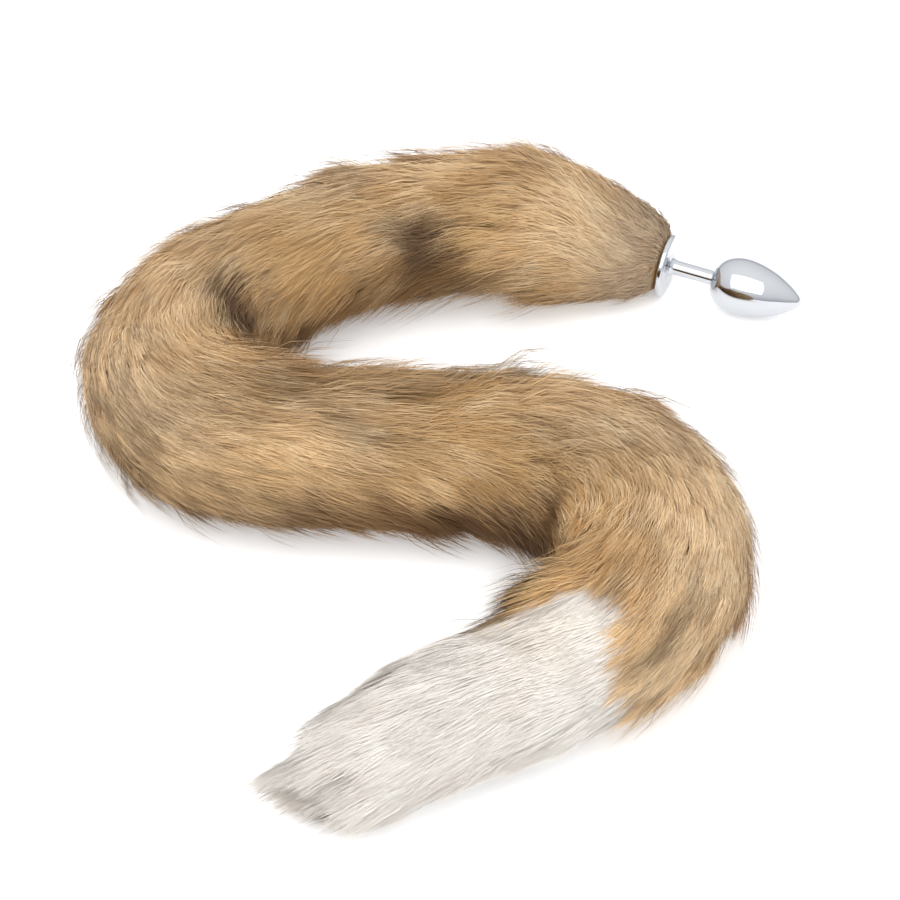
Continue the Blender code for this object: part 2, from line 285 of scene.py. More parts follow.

# the same columns as the dark streaks and painted shade
GOLD_PATCHES: Table = (
    (0.088, 138.0, 0.020, 30.0, 0.0, 0.75),
    (0.190, 120.0, 0.030, 26.0, 0.0, 0.60),
    (0.300, 20.0, 0.060, 30.0, 0.0, 0.55),
    (0.330, 60.0, 0.030, 16.0, -300.0, 0.45),
    (0.345, 10.0, 0.036, 28.0, 0.0, 0.85),
    (0.400, 40.0, 0.040, 14.0, -200.0, 0.50),
    (0.466, 48.0, 0.018, 14.0, 0.0, 0.80),
    (0.540, 150.0, 0.060, 36.0, 0.0, 0.25),
    (0.600, 160.0, 0.040, 40.0, 0.0, 0.35),
    (0.575, 36.0, 0.030, 20.0, 0.0, 0.60),
    (0.598, 176.0, 0.034, 26.0, 0.0, 0.70),
    (0.630, 50.0, 0.030, 14.0, 0.0, 0.80),
    (0.636, 90.0, 0.022, 45.0, 0.0, 0.70),
)

# the same columns as the dark streaks and painted shade: pale fur, and painted light, lighter on the tops and
# on the outer side of the right bend
PALE_FUR_AND_PAINTED_LIGHT: Table = (
    (0.040, 110.0, 0.034, 70.0, 0.0, 0.60),
    (0.150, 72.0, 0.060, 34.0, 0.0, 0.60),
    (0.270, 78.0, 0.042, 40.0, 0.0, 0.65),
    (0.302, 40.0, 0.045, 42.0, 0.0, 0.85),
    (0.345, 8.0, 0.034, 26.0, 0.0, 0.30),
    (0.378, 60.0, 0.030, 30.0, 0.0, 0.45),
    (0.500, 118.0, 0.030, 36.0, 0.0, 0.75),
    (0.552, 140.0, 0.046, 46.0, 0.0, 1.25),
    (0.604, 166.0, 0.036, 46.0, 0.0, 1.25),
)


@dataclass
class TailPath:
    """The tail's middle line on the floor, with its fur's sections.

    The straight frame of the tail has X across to the right, Y along from the flange and Z up.
    """

    length: float = 0.770
    fur_width: float = 0.084
    fur_height: float = 0.068
    rest_height: float = 0.031
    root_diameter: float = 0.027
    flare_length: float = 0.046
    rise_length: float = 0.060
    post_length: float = 0.022
    white_length: float = 0.160
    # how far the middle line sinks towards the tip, and from which share of its length
    sink: float = 0.45
    sink_start: float = 0.86
    # how hard a bend squeezes its inner side, and how sharply that sets in
    bend_squeeze: float = 1.13
    bend_power: int = 6
    # how far the underside may spread below the middle line, against its height
    floor_spread: float = 1.12
    steps: int = 800
    # steps on each side that headings and bends are averaged over
    heading_reach: int = 17
    bend_reach: int = 4
    before: float = 0.030
    after: float = 0.090
    plug: PlugSizes = field(default_factory=PlugSizes)

    def __post_init__(self) -> None:
        """Reads the plug's place from the frame and lays the middle line."""
        mount = next(m for m in frame["record"]["mounts"] if m["name"] == "stop_face")
        self.axis = Vector(mount["axis"]).normalized()
        upright = (Vector((0.0, 0.0, 1.0)) - self.axis * self.axis.z).normalized()
        self.upright = upright
        point = Vector(mount["pos_m"])
        self.flange = (
            point - self.axis * self.plug.flange_thickness - upright * self.plug.stop_point_radius
        )
        self.tilt = -math.asin(self.axis.z)
        self.start = self.flange - self.axis * self.plug.gap
        self.step = self.length / self.steps
        self._lay()

    def _lay(self) -> None:
        """Works out places, headings and bends at every step, past both ends too."""
        shares = np.arange(self.steps + 1) / self.steps
        first = math.degrees(math.atan2(self.axis.y, self.axis.x)) + 180.0
        headings = first + read_table(TAIL_ROUTE, shares, 1)
        for _ in range(2):
            headings = self._level_out(headings)
        extra_before = int(self.before / self.step)
        extra_after = int(self.after / self.step)
        headings = np.concatenate(
            [np.full(extra_before, headings[0]), headings, np.full(extra_after, headings[-1])]
        )
        angles = np.radians(headings)
        ahead = np.stack([np.cos(angles), np.sin(angles)], axis=1)
        places = np.zeros_like(ahead)
        places[1:] = np.cumsum(ahead[:-1] * self.step, axis=0)
        places += np.array([self.start.x, self.start.y]) - places[extra_before]
        self.distances = (np.arange(len(angles)) - extra_before) * self.step
        self.places = places
        self.angles = angles
        self.bends = np.gradient(angles, self.step)
        window = 2 * self.bend_reach + 1
        kernel = np.ones(window) / window
        self.bends = np.convolve(self.bends, kernel, mode="same")

    def _level_out(self, values: np.ndarray) -> np.ndarray:
        """Averages headings over a short stretch, shorter towards the ends."""
        total = np.concatenate([[0.0], np.cumsum(values)])
        index = np.arange(len(values))
        reach = np.minimum(self.heading_reach, np.minimum(index, len(values) - 1 - index))
        return (total[index + reach + 1] - total[index - reach]) / (2 * reach + 1)

    def flare(self, distance: np.ndarray) -> np.ndarray:
        """How far the fur has opened out behind the flange, as a share."""
        opened = np.clip(distance / self.flare_length, 0.0, 1.0)
        return np.sqrt(1.0 - (1.0 - opened) ** 2)

    def half_width(self, distance: np.ndarray, sideways: np.ndarray | float) -> np.ndarray:
        """Half width of the fur on the side that a number's sign gives, right where positive."""
        share = distance / self.length
        root = self.root_diameter / 2
        right = read_table(TAIL_SECTIONS, share, 1)
        left = read_table(TAIL_SECTIONS, share, 2)
        wide = np.where(np.asarray(sideways) > 0.0, right, left)
        return root + (self.fur_width / 2 * wide - root) * self.flare(distance)

    def half_height(self, distance: np.ndarray) -> np.ndarray:
        """Height of the fur above its middle line."""
        root = self.root_diameter / 2
        high = self.fur_height / 2 * read_table(TAIL_SECTIONS, distance / self.length, 3)
        return root + (high - root) * self.flare(distance)

    def middle(self, distance: np.ndarray) -> np.ndarray:
        """Height of the middle line above the floor."""
        rise = ease((distance - self.post_length * 0.5) / self.rise_length)
        height = self.start.z + (self.rest_height - self.start.z) * rise
        share = distance / self.length
        sunk = ease((share - self.sink_start) / (1.0 - self.sink_start)) * self.sink
        return height * (1.0 - sunk)

    def squeeze(self, side: Side) -> np.ndarray:
        """How far each step's sections are squeezed on one side of the bend, as a factor."""
        wide = self.half_width(np.clip(self.distances, 0.0, self.length), side.value)
        inner = self.bends * side.value < 0.0
        load = np.where(inner, np.abs(self.bends) * wide * self.bend_squeeze, 0.0)
        return 1.0 / (1.0 + load**self.bend_power) ** (1.0 / self.bend_power)

    def lean(self) -> np.ndarray:
        """Slope of each step's section, square to the plug's axis at the flange."""
        return math.tan(self.tilt) * (1.0 - ease(self.distances / self.rise_length))

    def seam(self, angle: np.ndarray) -> np.ndarray:
        """Distance along the tail of the colour change, at angles round it."""
        degrees = np.degrees(np.arctan2(np.sin(angle), np.cos(angle)))
        return (
            self.length - self.white_length
            + read_table(SEAM_OFFSETS, degrees, 1) * self.white_length
        )

    def straight_point(self, distance: np.ndarray, angle: np.ndarray, reach: np.ndarray) -> np.ndarray:
        """Points of the fur in the tail's straight frame.

        Args:
            distance: Distances along the tail.
            angle: Angles round it, 0 at its right and a quarter turn at its top.
            reach: Shares of the fur's depth from the middle line.

        Returns:
            An array of points, one row each.
        """
        wide = self.half_width(distance, np.cos(angle))
        high = self.half_height(distance)
        middle = self.middle(distance)
        low = np.minimum(high, middle * self.floor_spread)
        low = low + (self.root_diameter / 2 - low) * (1.0 - self.flare(distance))
        upward = np.sin(angle)
        high = np.where(upward < 0.0, low, high)
        height = np.maximum(0.0, middle + upward * high * reach)
        return np.stack([np.cos(angle) * wide * reach, distance, height], axis=-1)

    def bent(self, points: np.ndarray) -> np.ndarray:
        """Carries points of the straight frame to where the tail lies."""
        right, left = self.squeeze(Side.RIGHT), self.squeeze(Side.LEFT)
        along = points[..., 1]
        across = points[..., 0]
        factor = np.where(
            across > 0.0,
            np.interp(along, self.distances, right),
            np.interp(along, self.distances, left),
        )
        across = across * factor
        angle = np.interp(along, self.distances, self.angles)
        place_x = np.interp(along, self.distances, self.places[:, 0])
        place_y = np.interp(along, self.distances, self.places[:, 1])
        lean = -(points[..., 2] - self.start.z) * np.interp(along, self.distances, self.lean())
        x = place_x + np.sin(angle) * across + np.cos(angle) * lean
        y = place_y - np.cos(angle) * across + np.sin(angle) * lean
        return np.stack([x, y, points[..., 2]], axis=-1)

    def guide_mesh(self) -> bpy.types.Object:
        """Makes the middle line as a mesh of edges that the fur's tree bends hairs along."""
        mesh = bpy.data.meshes.new("tail_path")
        points = [(x, y, 0.0) for x, y in self.places]
        mesh.from_pydata(points, [(i, i + 1) for i in range(len(points) - 1)], [])
        shape = np.stack([self.squeeze(Side.RIGHT), self.squeeze(Side.LEFT), self.lean()], axis=1)
        store = mesh.attributes.new("shape", "FLOAT_VECTOR", "POINT")
        store.data.foreach_set("vector", shape.astype(np.float32).ravel())
        item = bpy.data.objects.new("tail_path", mesh)
        bpy.context.scene.collection.objects.link(item)
        return item


@dataclass
class FurLook:
    """How the hairs of one piece of fur grow."""

    length: float = 0.026
    width: float = 0.00030
    rise: float = 0.22
    relief: float = 0.0008
    wisp_spacing: float = 0.0042
    lock_spacing: float = 0.013
    wisp_pull: float = 0.62
    lock_pull: float = 0.30
    sway_hair: float = 0.20
    sway_wisp: float = 0.26
    sway_lock: float = 0.26
    roll: float = 0.65
    sag: float = 0.05
    guard_share: float = 0.09
    smoothing: float = 0.88
    seed: int = 1


class Nodes:
    """A short way to build a node tree: each method adds a node and returns its output."""

    def __init__(self, tree: bpy.types.NodeTree) -> None:
        """Keeps the tree that nodes are added to."""
        self.tree = tree

    def put(self, socket: Socket, value: object) -> None:
        """Links a socket to another, or sets its value."""
        if isinstance(value, bpy.types.NodeSocket):
            self.tree.links.new(value, socket)
        elif value is not None:
            socket.default_value = value

    def add(
        self, kind: str, inputs: dict[int | str, object] | None = None, **settings: object
    ) -> bpy.types.Node:
        """Adds a node.

        Args:
            kind: The node's type.
            inputs: Sockets or values, by input name or index.
            settings: Properties of the node.

        Returns:
            The new node.
        """
        node = self.tree.nodes.new(kind)
        for name, value in settings.items():
            setattr(node, name, value)
        for key, value in (inputs or {}).items():
            self.put(node.inputs[key], value)
        return node

    def math(self, operation: str, first: object, second: object = None, third: object = None) -> Socket:
        """Adds a Math node and returns its value."""
        kind = "ShaderNodeMath"
        node = self.add(kind, {0: first, 1: second, 2: third}, operation=operation)
        return node.outputs[0]

    def vector(self, operation: str, first: object, second: object = None) -> Socket:
        """Adds a Vector Math node and returns its vector, or its value for a dot product."""
        node = self.add("ShaderNodeVectorMath", {0: first, 1: second}, operation=operation)
        return node.outputs["Value" if operation in ("DOT_PRODUCT", "LENGTH") else "Vector"]

    def scaled(self, vector: object, scale: object) -> Socket:
        """Scales a vector by a value."""
        node = self.add("ShaderNodeVectorMath", {0: vector, "Scale": scale}, operation="SCALE")
        return node.outputs["Vector"]

    def total(self, *vectors: Socket) -> Socket:
        """Adds vectors together."""
        result = vectors[0]
        for vector in vectors[1:]:
            result = self.vector("ADD", result, vector)
        return result

    def joined(self, x: object, y: object, z: object) -> Socket:
        """Makes a vector of three values."""
        return self.add("ShaderNodeCombineXYZ", {0: x, 1: y, 2: z}).outputs[0]

    def split(self, vector: Socket) -> tuple[Socket, Socket, Socket]:
        """Takes a vector apart."""
        outputs = self.add("ShaderNodeSeparateXYZ", {0: vector}).outputs
        return outputs[0], outputs[1], outputs[2]

    def mixed(self, share: object, first: object, second: object) -> Socket:
        """Mixes two values by a share."""
        node = self.add("ShaderNodeMix", {0: share, 2: first, 3: second}, data_type="FLOAT")
        return node.outputs[0]


class FurTree(Nodes):
    """The Geometry Nodes tree that grows hairs on a skin and bends them along the tail."""

    SIZES: tuple[tuple[str, str], ...] = (
        ("Hair Density", "hairs"),
        ("Wisp Density", "wisps"),
        ("Lock Density", "locks"),
        ("Length", "length"),
        ("Width", "width"),
        ("Rise", "rise"),
        ("Relief", "relief"),
        ("Wisp Pull", "wisp_pull"),
        ("Lock Pull", "lock_pull"),
        ("Sway Hair", "sway_hair"),
        ("Sway Wisp", "sway_wisp"),
        ("Sway Lock", "sway_lock"),
        ("Roll", "roll"),
        ("Sag", "sag"),
        ("Guard Share", "guard_share"),
        ("Path Before", "before"),
        ("Base Height", "base"),
    )

    # how far hairs face up beyond the skin's own direction, since light gets in between them
    UPWARD: float = 0.35

    def __init__(self) -> None:
        """Builds the tree."""
        super().__init__(bpy.data.node_groups.new("grow_fur", "GeometryNodeTree"))
        face = self.tree.interface
        face.new_socket("Skin", in_out="INPUT", socket_type="NodeSocketGeometry")
        for name, _ in self.SIZES:
            face.new_socket(name, in_out="INPUT", socket_type="NodeSocketFloat")
        face.new_socket("Seed", in_out="INPUT", socket_type="NodeSocketInt")
        face.new_socket("Strand", in_out="INPUT", socket_type="NodeSocketObject")
        face.new_socket("Path", in_out="INPUT", socket_type="NodeSocketObject")
        face.new_socket("Material", in_out="INPUT", socket_type="NodeSocketMaterial")
        face.new_socket("Fur", in_out="OUTPUT", socket_type="NodeSocketGeometry")
        self.given = self.tree.nodes.new("NodeGroupInput").outputs
        points = self._roots()
        fur = self._strands(points)
        fur = self._shape(fur)
        fur = self._bend(fur)
        fur = self._finish(fur)
        self.put(self.tree.nodes.new("NodeGroupOutput").inputs[0], fur)

    def named(self, name: str, kind: str = "FLOAT") -> Socket:
        """Reads a named attribute."""
        return self.add("GeometryNodeInputNamedAttribute", {0: name}, data_type=kind).outputs[0]

    def store(self, geometry: Socket, name: str, value: Socket, kind: str = "FLOAT") -> Socket:
        """Stores a value under a name on the geometry."""
        node = self.add("GeometryNodeStoreNamedAttribute", data_type=kind, domain="POINT")
        self.put(node.inputs["Geometry"], geometry)
        self.put(node.inputs["Name"], name)
        self.put(node.inputs["Value"], value)
        return node.outputs[0]

    def chance(self, low: object, high: object, seed: int) -> Socket:
        """A random value for each element, from the piece's seed."""
        node = self.add("FunctionNodeRandomValue", data_type="FLOAT")
        self.put(node.inputs[2], low)
        self.put(node.inputs[3], high)
        self.put(node.inputs["Seed"], self.math("ADD", self.given["Seed"], float(seed)))
        return node.outputs[1]

    def _scatter(self, density: Socket, seed: int, weighted: bool) -> Socket:
        """Scatters points on the skin and puts them in the straight frame."""
        if weighted:
            density = self.math("MULTIPLY", density, self.named("density"))
        node = self.add("GeometryNodeDistributePointsOnFaces", distribute_method="RANDOM")
        self.put(node.inputs["Mesh"], self.given["Skin"])
        self.put(node.inputs["Density"], density)
        self.put(node.inputs["Seed"], self.math("ADD", self.given["Seed"], float(seed)))
        move = self.add("GeometryNodeSetPosition")
        self.put(move.inputs["Geometry"], node.outputs["Points"])
        self.put(move.inputs["Position"], self.named("bed", "FLOAT_VECTOR"))
        return move.outputs[0]

    def _nearest(self, points: Socket, place: Socket) -> Socket:
        """Index of the point nearest to a place."""
        node = self.add("GeometryNodeSampleNearest", domain="POINT")
        self.put(node.inputs[0], points)
        self.put(node.inputs[1], place)
        return node.outputs[0]

    def _sampled(self, points: Socket, value: Socket, index: Socket, kind: str = "FLOAT") -> Socket:
        """A value of the point with that index."""
        node = self.add("GeometryNodeSampleIndex", data_type=kind, domain="POINT")
        self.put(node.inputs[0], points)
        self.put(node.inputs[1], value)
        self.put(node.inputs[2], index)
        return node.outputs[0]

    def _roots(self) -> Socket:
        """Roots of the hairs, each with its wisp, its lock and its own chances."""
        hairs = self._scatter(self.given["Hair Density"], 0, True)
        wisps = self._scatter(self.given["Wisp Density"], 1, False)
        locks = self._scatter(self.given["Lock Density"], 2, False)
        here = self.add("GeometryNodeInputPosition").outputs[0]
        wisp = self._nearest(wisps, here)
        wisp_place = self._sampled(wisps, here, wisp, "FLOAT_VECTOR")
        lock = self._nearest(locks, wisp_place)
        lock_place = self._sampled(locks, here, lock, "FLOAT_VECTOR")
        wisp_chance = self._sampled(wisps, self.chance(-1.0, 1.0, 11), wisp)
        wisp_tone = self._sampled(wisps, self.chance(0.0, 1.0, 12), wisp)
        wisp_long = self._sampled(wisps, self.chance(0.85, 1.15, 13), wisp)
        lock_chance = self._sampled(locks, self.chance(-1.0, 1.0, 14), lock)
        lock_tone = self._sampled(locks, self.chance(0.0, 1.0, 15), lock)
        lock_long = self._sampled(locks, self.chance(0.80, 1.18, 16), lock)
        lock_rise = self._sampled(locks, self.chance(0.7, 1.35, 17), lock)
        guard = self.math("LESS_THAN", self.chance(0.0, 1.0, 18), self.given["Guard Share"])
        sway = self.math(
            "ADD",
            self.math("MULTIPLY", self.chance(-1.0, 1.0, 19), self.given["Sway Hair"]),
            self.math(
                "MULTIPLY_ADD", wisp_chance, self.given["Sway Wisp"],
                self.math("MULTIPLY", lock_chance, self.given["Sway Lock"]),
            ),
        )
        reach = self.math("MULTIPLY", self.given["Length"], self.chance(0.72, 1.12, 20))
        reach = self.math("MULTIPLY", reach, self.math("MULTIPLY", wisp_long, lock_long))
        reach = self.math("MULTIPLY", reach, self.named("long"))
        reach = self.math("MULTIPLY", reach, self.mixed(guard, 1.0, 1.22))
        lift = self.named("lift")
        rise = self.math("MULTIPLY", self.given["Rise"], self.math("MULTIPLY", lock_rise, lift))
        rise = self.math("MULTIPLY", rise, self.mixed(guard, self.chance(0.7, 1.25, 21), 1.6))
        stand = self.math("MULTIPLY_ADD", lock_chance, 0.7, self.math("MULTIPLY", wisp_chance, 0.5))
        stand = self.math("MULTIPLY", stand, self.math("MULTIPLY", self.given["Relief"], lift))
        tone = self.math(
            "MULTIPLY_ADD", self.chance(0.0, 1.0, 22), 0.30,
            self.math("MULTIPLY_ADD", wisp_tone, 0.40, self.math("MULTIPLY", lock_tone, 0.30)),
        )
        to_wisp = self.vector("SUBTRACT", wisp_place, here)
        to_lock = self.vector("SUBTRACT", lock_place, wisp_place)
        points = self.store(hairs, "root", here, "FLOAT_VECTOR")
        points = self.store(points, "to_wisp", to_wisp, "FLOAT_VECTOR")
        points = self.store(points, "to_lock", to_lock, "FLOAT_VECTOR")
        for name, value in (
            ("sway", sway),
            ("reach", reach),
            ("rise", rise),
            ("stand", stand),
            ("guard", guard),
            ("tone", tone),
            ("roll", self.math("MULTIPLY", self.chance(-1.0, 1.0, 23), self.given["Roll"])),
            ("curl", self.chance(0.0, math.tau, 24)),
            ("order", self.add("GeometryNodeInputIndex").outputs[0]),
        ):
            points = self.store(points, name, value)
        return points

    def _strands(self, points: Socket) -> Socket:
        """One strand for each root, as plain mesh."""
        strand = self.add("GeometryNodeObjectInfo", {0: self.given["Strand"]}).outputs["Geometry"]
        node = self.add("GeometryNodeInstanceOnPoints")
        self.put(node.inputs["Points"], points)
        self.put(node.inputs["Instance"], strand)
        return self.add("GeometryNodeRealizeInstances", {0: node.outputs[0]}).outputs[0]

    def _shape(self, fur: Socket) -> Socket:
        """Gives every hair its flow, its rise, its curl and its place in wisp and lock."""
        t = self.named("along")
        side = self.named("side")
        flow = self.named("flow", "FLOAT_VECTOR")
        out = self.named("out", "FLOAT_VECTOR")
        across = self.vector("NORMALIZE", self.vector("CROSS_PRODUCT", flow, out))
        reach = self.named("reach")
        heading = self.vector("NORMALIZE", self.total(flow, self.scaled(across, self.named("sway"))))
        square = self.math("MULTIPLY", t, t)
        combed = self.math("MULTIPLY", square, 0.42)
        part_flow = self.math("MULTIPLY", reach, self.math("SUBTRACT", t, combed))
        part_ahead = self.math("MULTIPLY", reach, combed)
        height = self.math("MULTIPLY_ADD", square, -0.9, self.math("MULTIPLY", t, 1.9))
        height = self.math("MULTIPLY", self.math("MULTIPLY", height, reach), self.named("rise"))
        wave = self.math("SINE", self.math("MULTIPLY_ADD", t, 4.5, self.named("curl")))
        depth = self.math("MULTIPLY", reach, 0.035)
        wave = self.math("MULTIPLY", self.math("MULTIPLY", wave, square), depth)
        drop = self.math("MULTIPLY", self.math("MULTIPLY", square, reach), self.given["Sag"])
        wisp_share = self.math("MULTIPLY", self.math("POWER", t, 1.3), self.given["Wisp Pull"])
        lock_share = self.math("MULTIPLY", self.math("POWER", t, 1.6), self.given["Lock Pull"])
        loose = self.mixed(self.named("guard"), 1.0, 0.35)
        wisp_share = self.math("MULTIPLY", wisp_share, loose)
        lock_share = self.math("MULTIPLY", lock_share, loose)
        roll = self.named("roll")
        flat = self.total(
            self.scaled(across, self.math("COSINE", roll)),
            self.scaled(out, self.math("SINE", roll)),
        )
        thick = self.math("MULTIPLY", side, self.math("MULTIPLY", self.given["Width"], 0.5))
        place = self.total(
            self.named("root", "FLOAT_VECTOR"),
            self.scaled(heading, part_flow),
            self.joined(0.0, part_ahead, self.math("MULTIPLY", drop, -1.0)),
            self.scaled(out, self.math("ADD", height, self.named("stand"))),
            self.scaled(across, wave),
            self.scaled(self.named("to_wisp", "FLOAT_VECTOR"), wisp_share),
            self.scaled(self.named("to_lock", "FLOAT_VECTOR"), lock_share),
            self.scaled(flat, thick),
        )
        move = self.add("GeometryNodeSetPosition")
        self.put(move.inputs["Geometry"], fur)
        self.put(move.inputs["Position"], place)
        return move.outputs[0]

    def _bend(self, fur: Socket) -> Socket:
        """Bends the straight fur along the tail's path and keeps it off the floor."""
        path = self.add("GeometryNodeObjectInfo", {0: self.given["Path"]}).outputs["Geometry"]
        curve = self.add("GeometryNodeMeshToCurve", {0: path}).outputs[0]
        here = self.add("GeometryNodeInputPosition").outputs[0]
        x, y, z = self.split(here)
        node = self.add(
            "GeometryNodeSampleCurve", mode="LENGTH", use_all_curves=True, data_type="FLOAT_VECTOR"
        )
        self.put(node.inputs["Curves"], curve)
        self.put(node.inputs["Value"], self.named("shape", "FLOAT_VECTOR"))
        self.put(node.inputs["Length"], self.math("ADD", y, self.given["Path Before"]))
        right_squeeze, left_squeeze, lean = self.split(node.outputs["Value"])
        ahead_x, ahead_y, _ = self.split(node.outputs["Tangent"])
        is_right = self.math("GREATER_THAN", x, 0.0)
        across = self.math("MULTIPLY", x, self.mixed(is_right, left_squeeze, right_squeeze))
        right = self.joined(ahead_y, self.math("MULTIPLY", ahead_x, -1.0), 0.0)
        ahead = self.joined(ahead_x, ahead_y, 0.0)
        above = self.math("SUBTRACT", self.given["Base Height"], z)
        clear = self.mixed(self.named("tone"), 0.0004, 0.0016)
        height = self.math("MAXIMUM", z, clear)
        place = self.total(
            node.outputs["Position"],
            self.scaled(right, across),
            self.scaled(ahead, self.math("MULTIPLY", above, lean)),
            self.joined(0.0, 0.0, height),
        )
        out_x, out_y, out_z = self.split(self.named("out", "FLOAT_VECTOR"))
        facing = self.total(
            self.scaled(right, out_x), self.scaled(ahead, out_y),
            self.joined(0.0, 0.0, self.math("ADD", out_z, self.UPWARD)),
        )
        fur = self.store(fur, "facing", self.vector("NORMALIZE", facing), "FLOAT_VECTOR")
        move = self.add("GeometryNodeSetPosition")
        self.put(move.inputs["Geometry"], fur)
        self.put(move.inputs["Position"], place)
        return move.outputs[0]

    def _finish(self, fur: Socket) -> Socket:
        """Turns every face outwards and sets the material."""
        normal = self.add("GeometryNodeInputNormal").outputs[0]
        inward = self.vector("DOT_PRODUCT", normal, self.named("facing", "FLOAT_VECTOR"))
        node = self.add("GeometryNodeFlipFaces")
        self.put(node.inputs["Mesh"], fur)
        self.put(node.inputs["Selection"], self.math("LESS_THAN", inward, 0.0))
        whole = self.add("GeometryNodeRealizeInstances", {0: node.outputs[0]}).outputs[0]
        done = self.add("GeometryNodeSetMaterial", {0: whole, "Material": self.given["Material"]})
        return done.outputs[0]


@dataclass
class StrandShape:
    """The flat ribbon that every hair starts from, wide below its middle and pointed."""

    # share of the hair's length, share of its width
    stations: Table = ((0.0, 0.85), (0.55, 1.0), (1.0, 0.0))

    def build(self) -> bpy.types.Object:
        """Makes the ribbon, with its place along and across as attributes."""
        points, along, side = [], [], []
        for share, width in self.stations:
            for sign in (-1.0, 1.0) if width else (0.0,):
                points.append((sign * width, 0.0, share))
                along.append(share)
                side.append(sign * width)
        faces = [(0, 1, 3, 2), (2, 3, 4)]
        mesh = bpy.data.meshes.new("strand")
        mesh.from_pydata(points, [], faces)
        for name, values in (("along", along), ("side", side)):
            mesh.attributes.new(name, "FLOAT", "POINT").data.foreach_set("value", values)
        mesh.shade_smooth()
        item = bpy.data.objects.new("strand", mesh)
        bpy.context.scene.collection.objects.link(item)
        return item


def put_attribute(mesh: bpy.types.Mesh, name: str, values: np.ndarray) -> None:
    """Stores one value or vector for each vertex."""
    flat = values.ndim == 1
    kind = "FLOAT" if flat else "FLOAT_VECTOR"
    data = mesh.attributes.new(name, kind, "POINT").data
    data.foreach_set("value" if flat else "vector", values.astype(np.float32).ravel())


def read_attribute(mesh: bpy.types.Mesh, name: str) -> np.ndarray:
    """Reads one value for each vertex."""
    values = np.empty(len(mesh.vertices), dtype=np.float32)
    mesh.attributes[name].data.foreach_get("value", values)
    return values


# attributes that steer growth, and those that only a hair's shape needs
GROWTH: tuple[str, ...] = ("bed", "flow", "out", "long", "lift", "density", "white")
HAIR_CHANCES: tuple[str, ...] = (
    "root", "to_wisp", "to_lock", "sway", "reach", "rise", "stand", "roll", "curl", "order", "side", "facing",
)


def drop_attributes(mesh: bpy.types.Mesh, names: tuple[str, ...]) -> None:
    """Removes attributes that the finished piece has no use for."""
    for name in names:
        if name in mesh.attributes:
            mesh.attributes.remove(mesh.attributes[name])


def wrapped(angle: np.ndarray) -> np.ndarray:
    """Angles in degrees brought between -180 and 180."""
    return (angle + 180.0) % 360.0 - 180.0


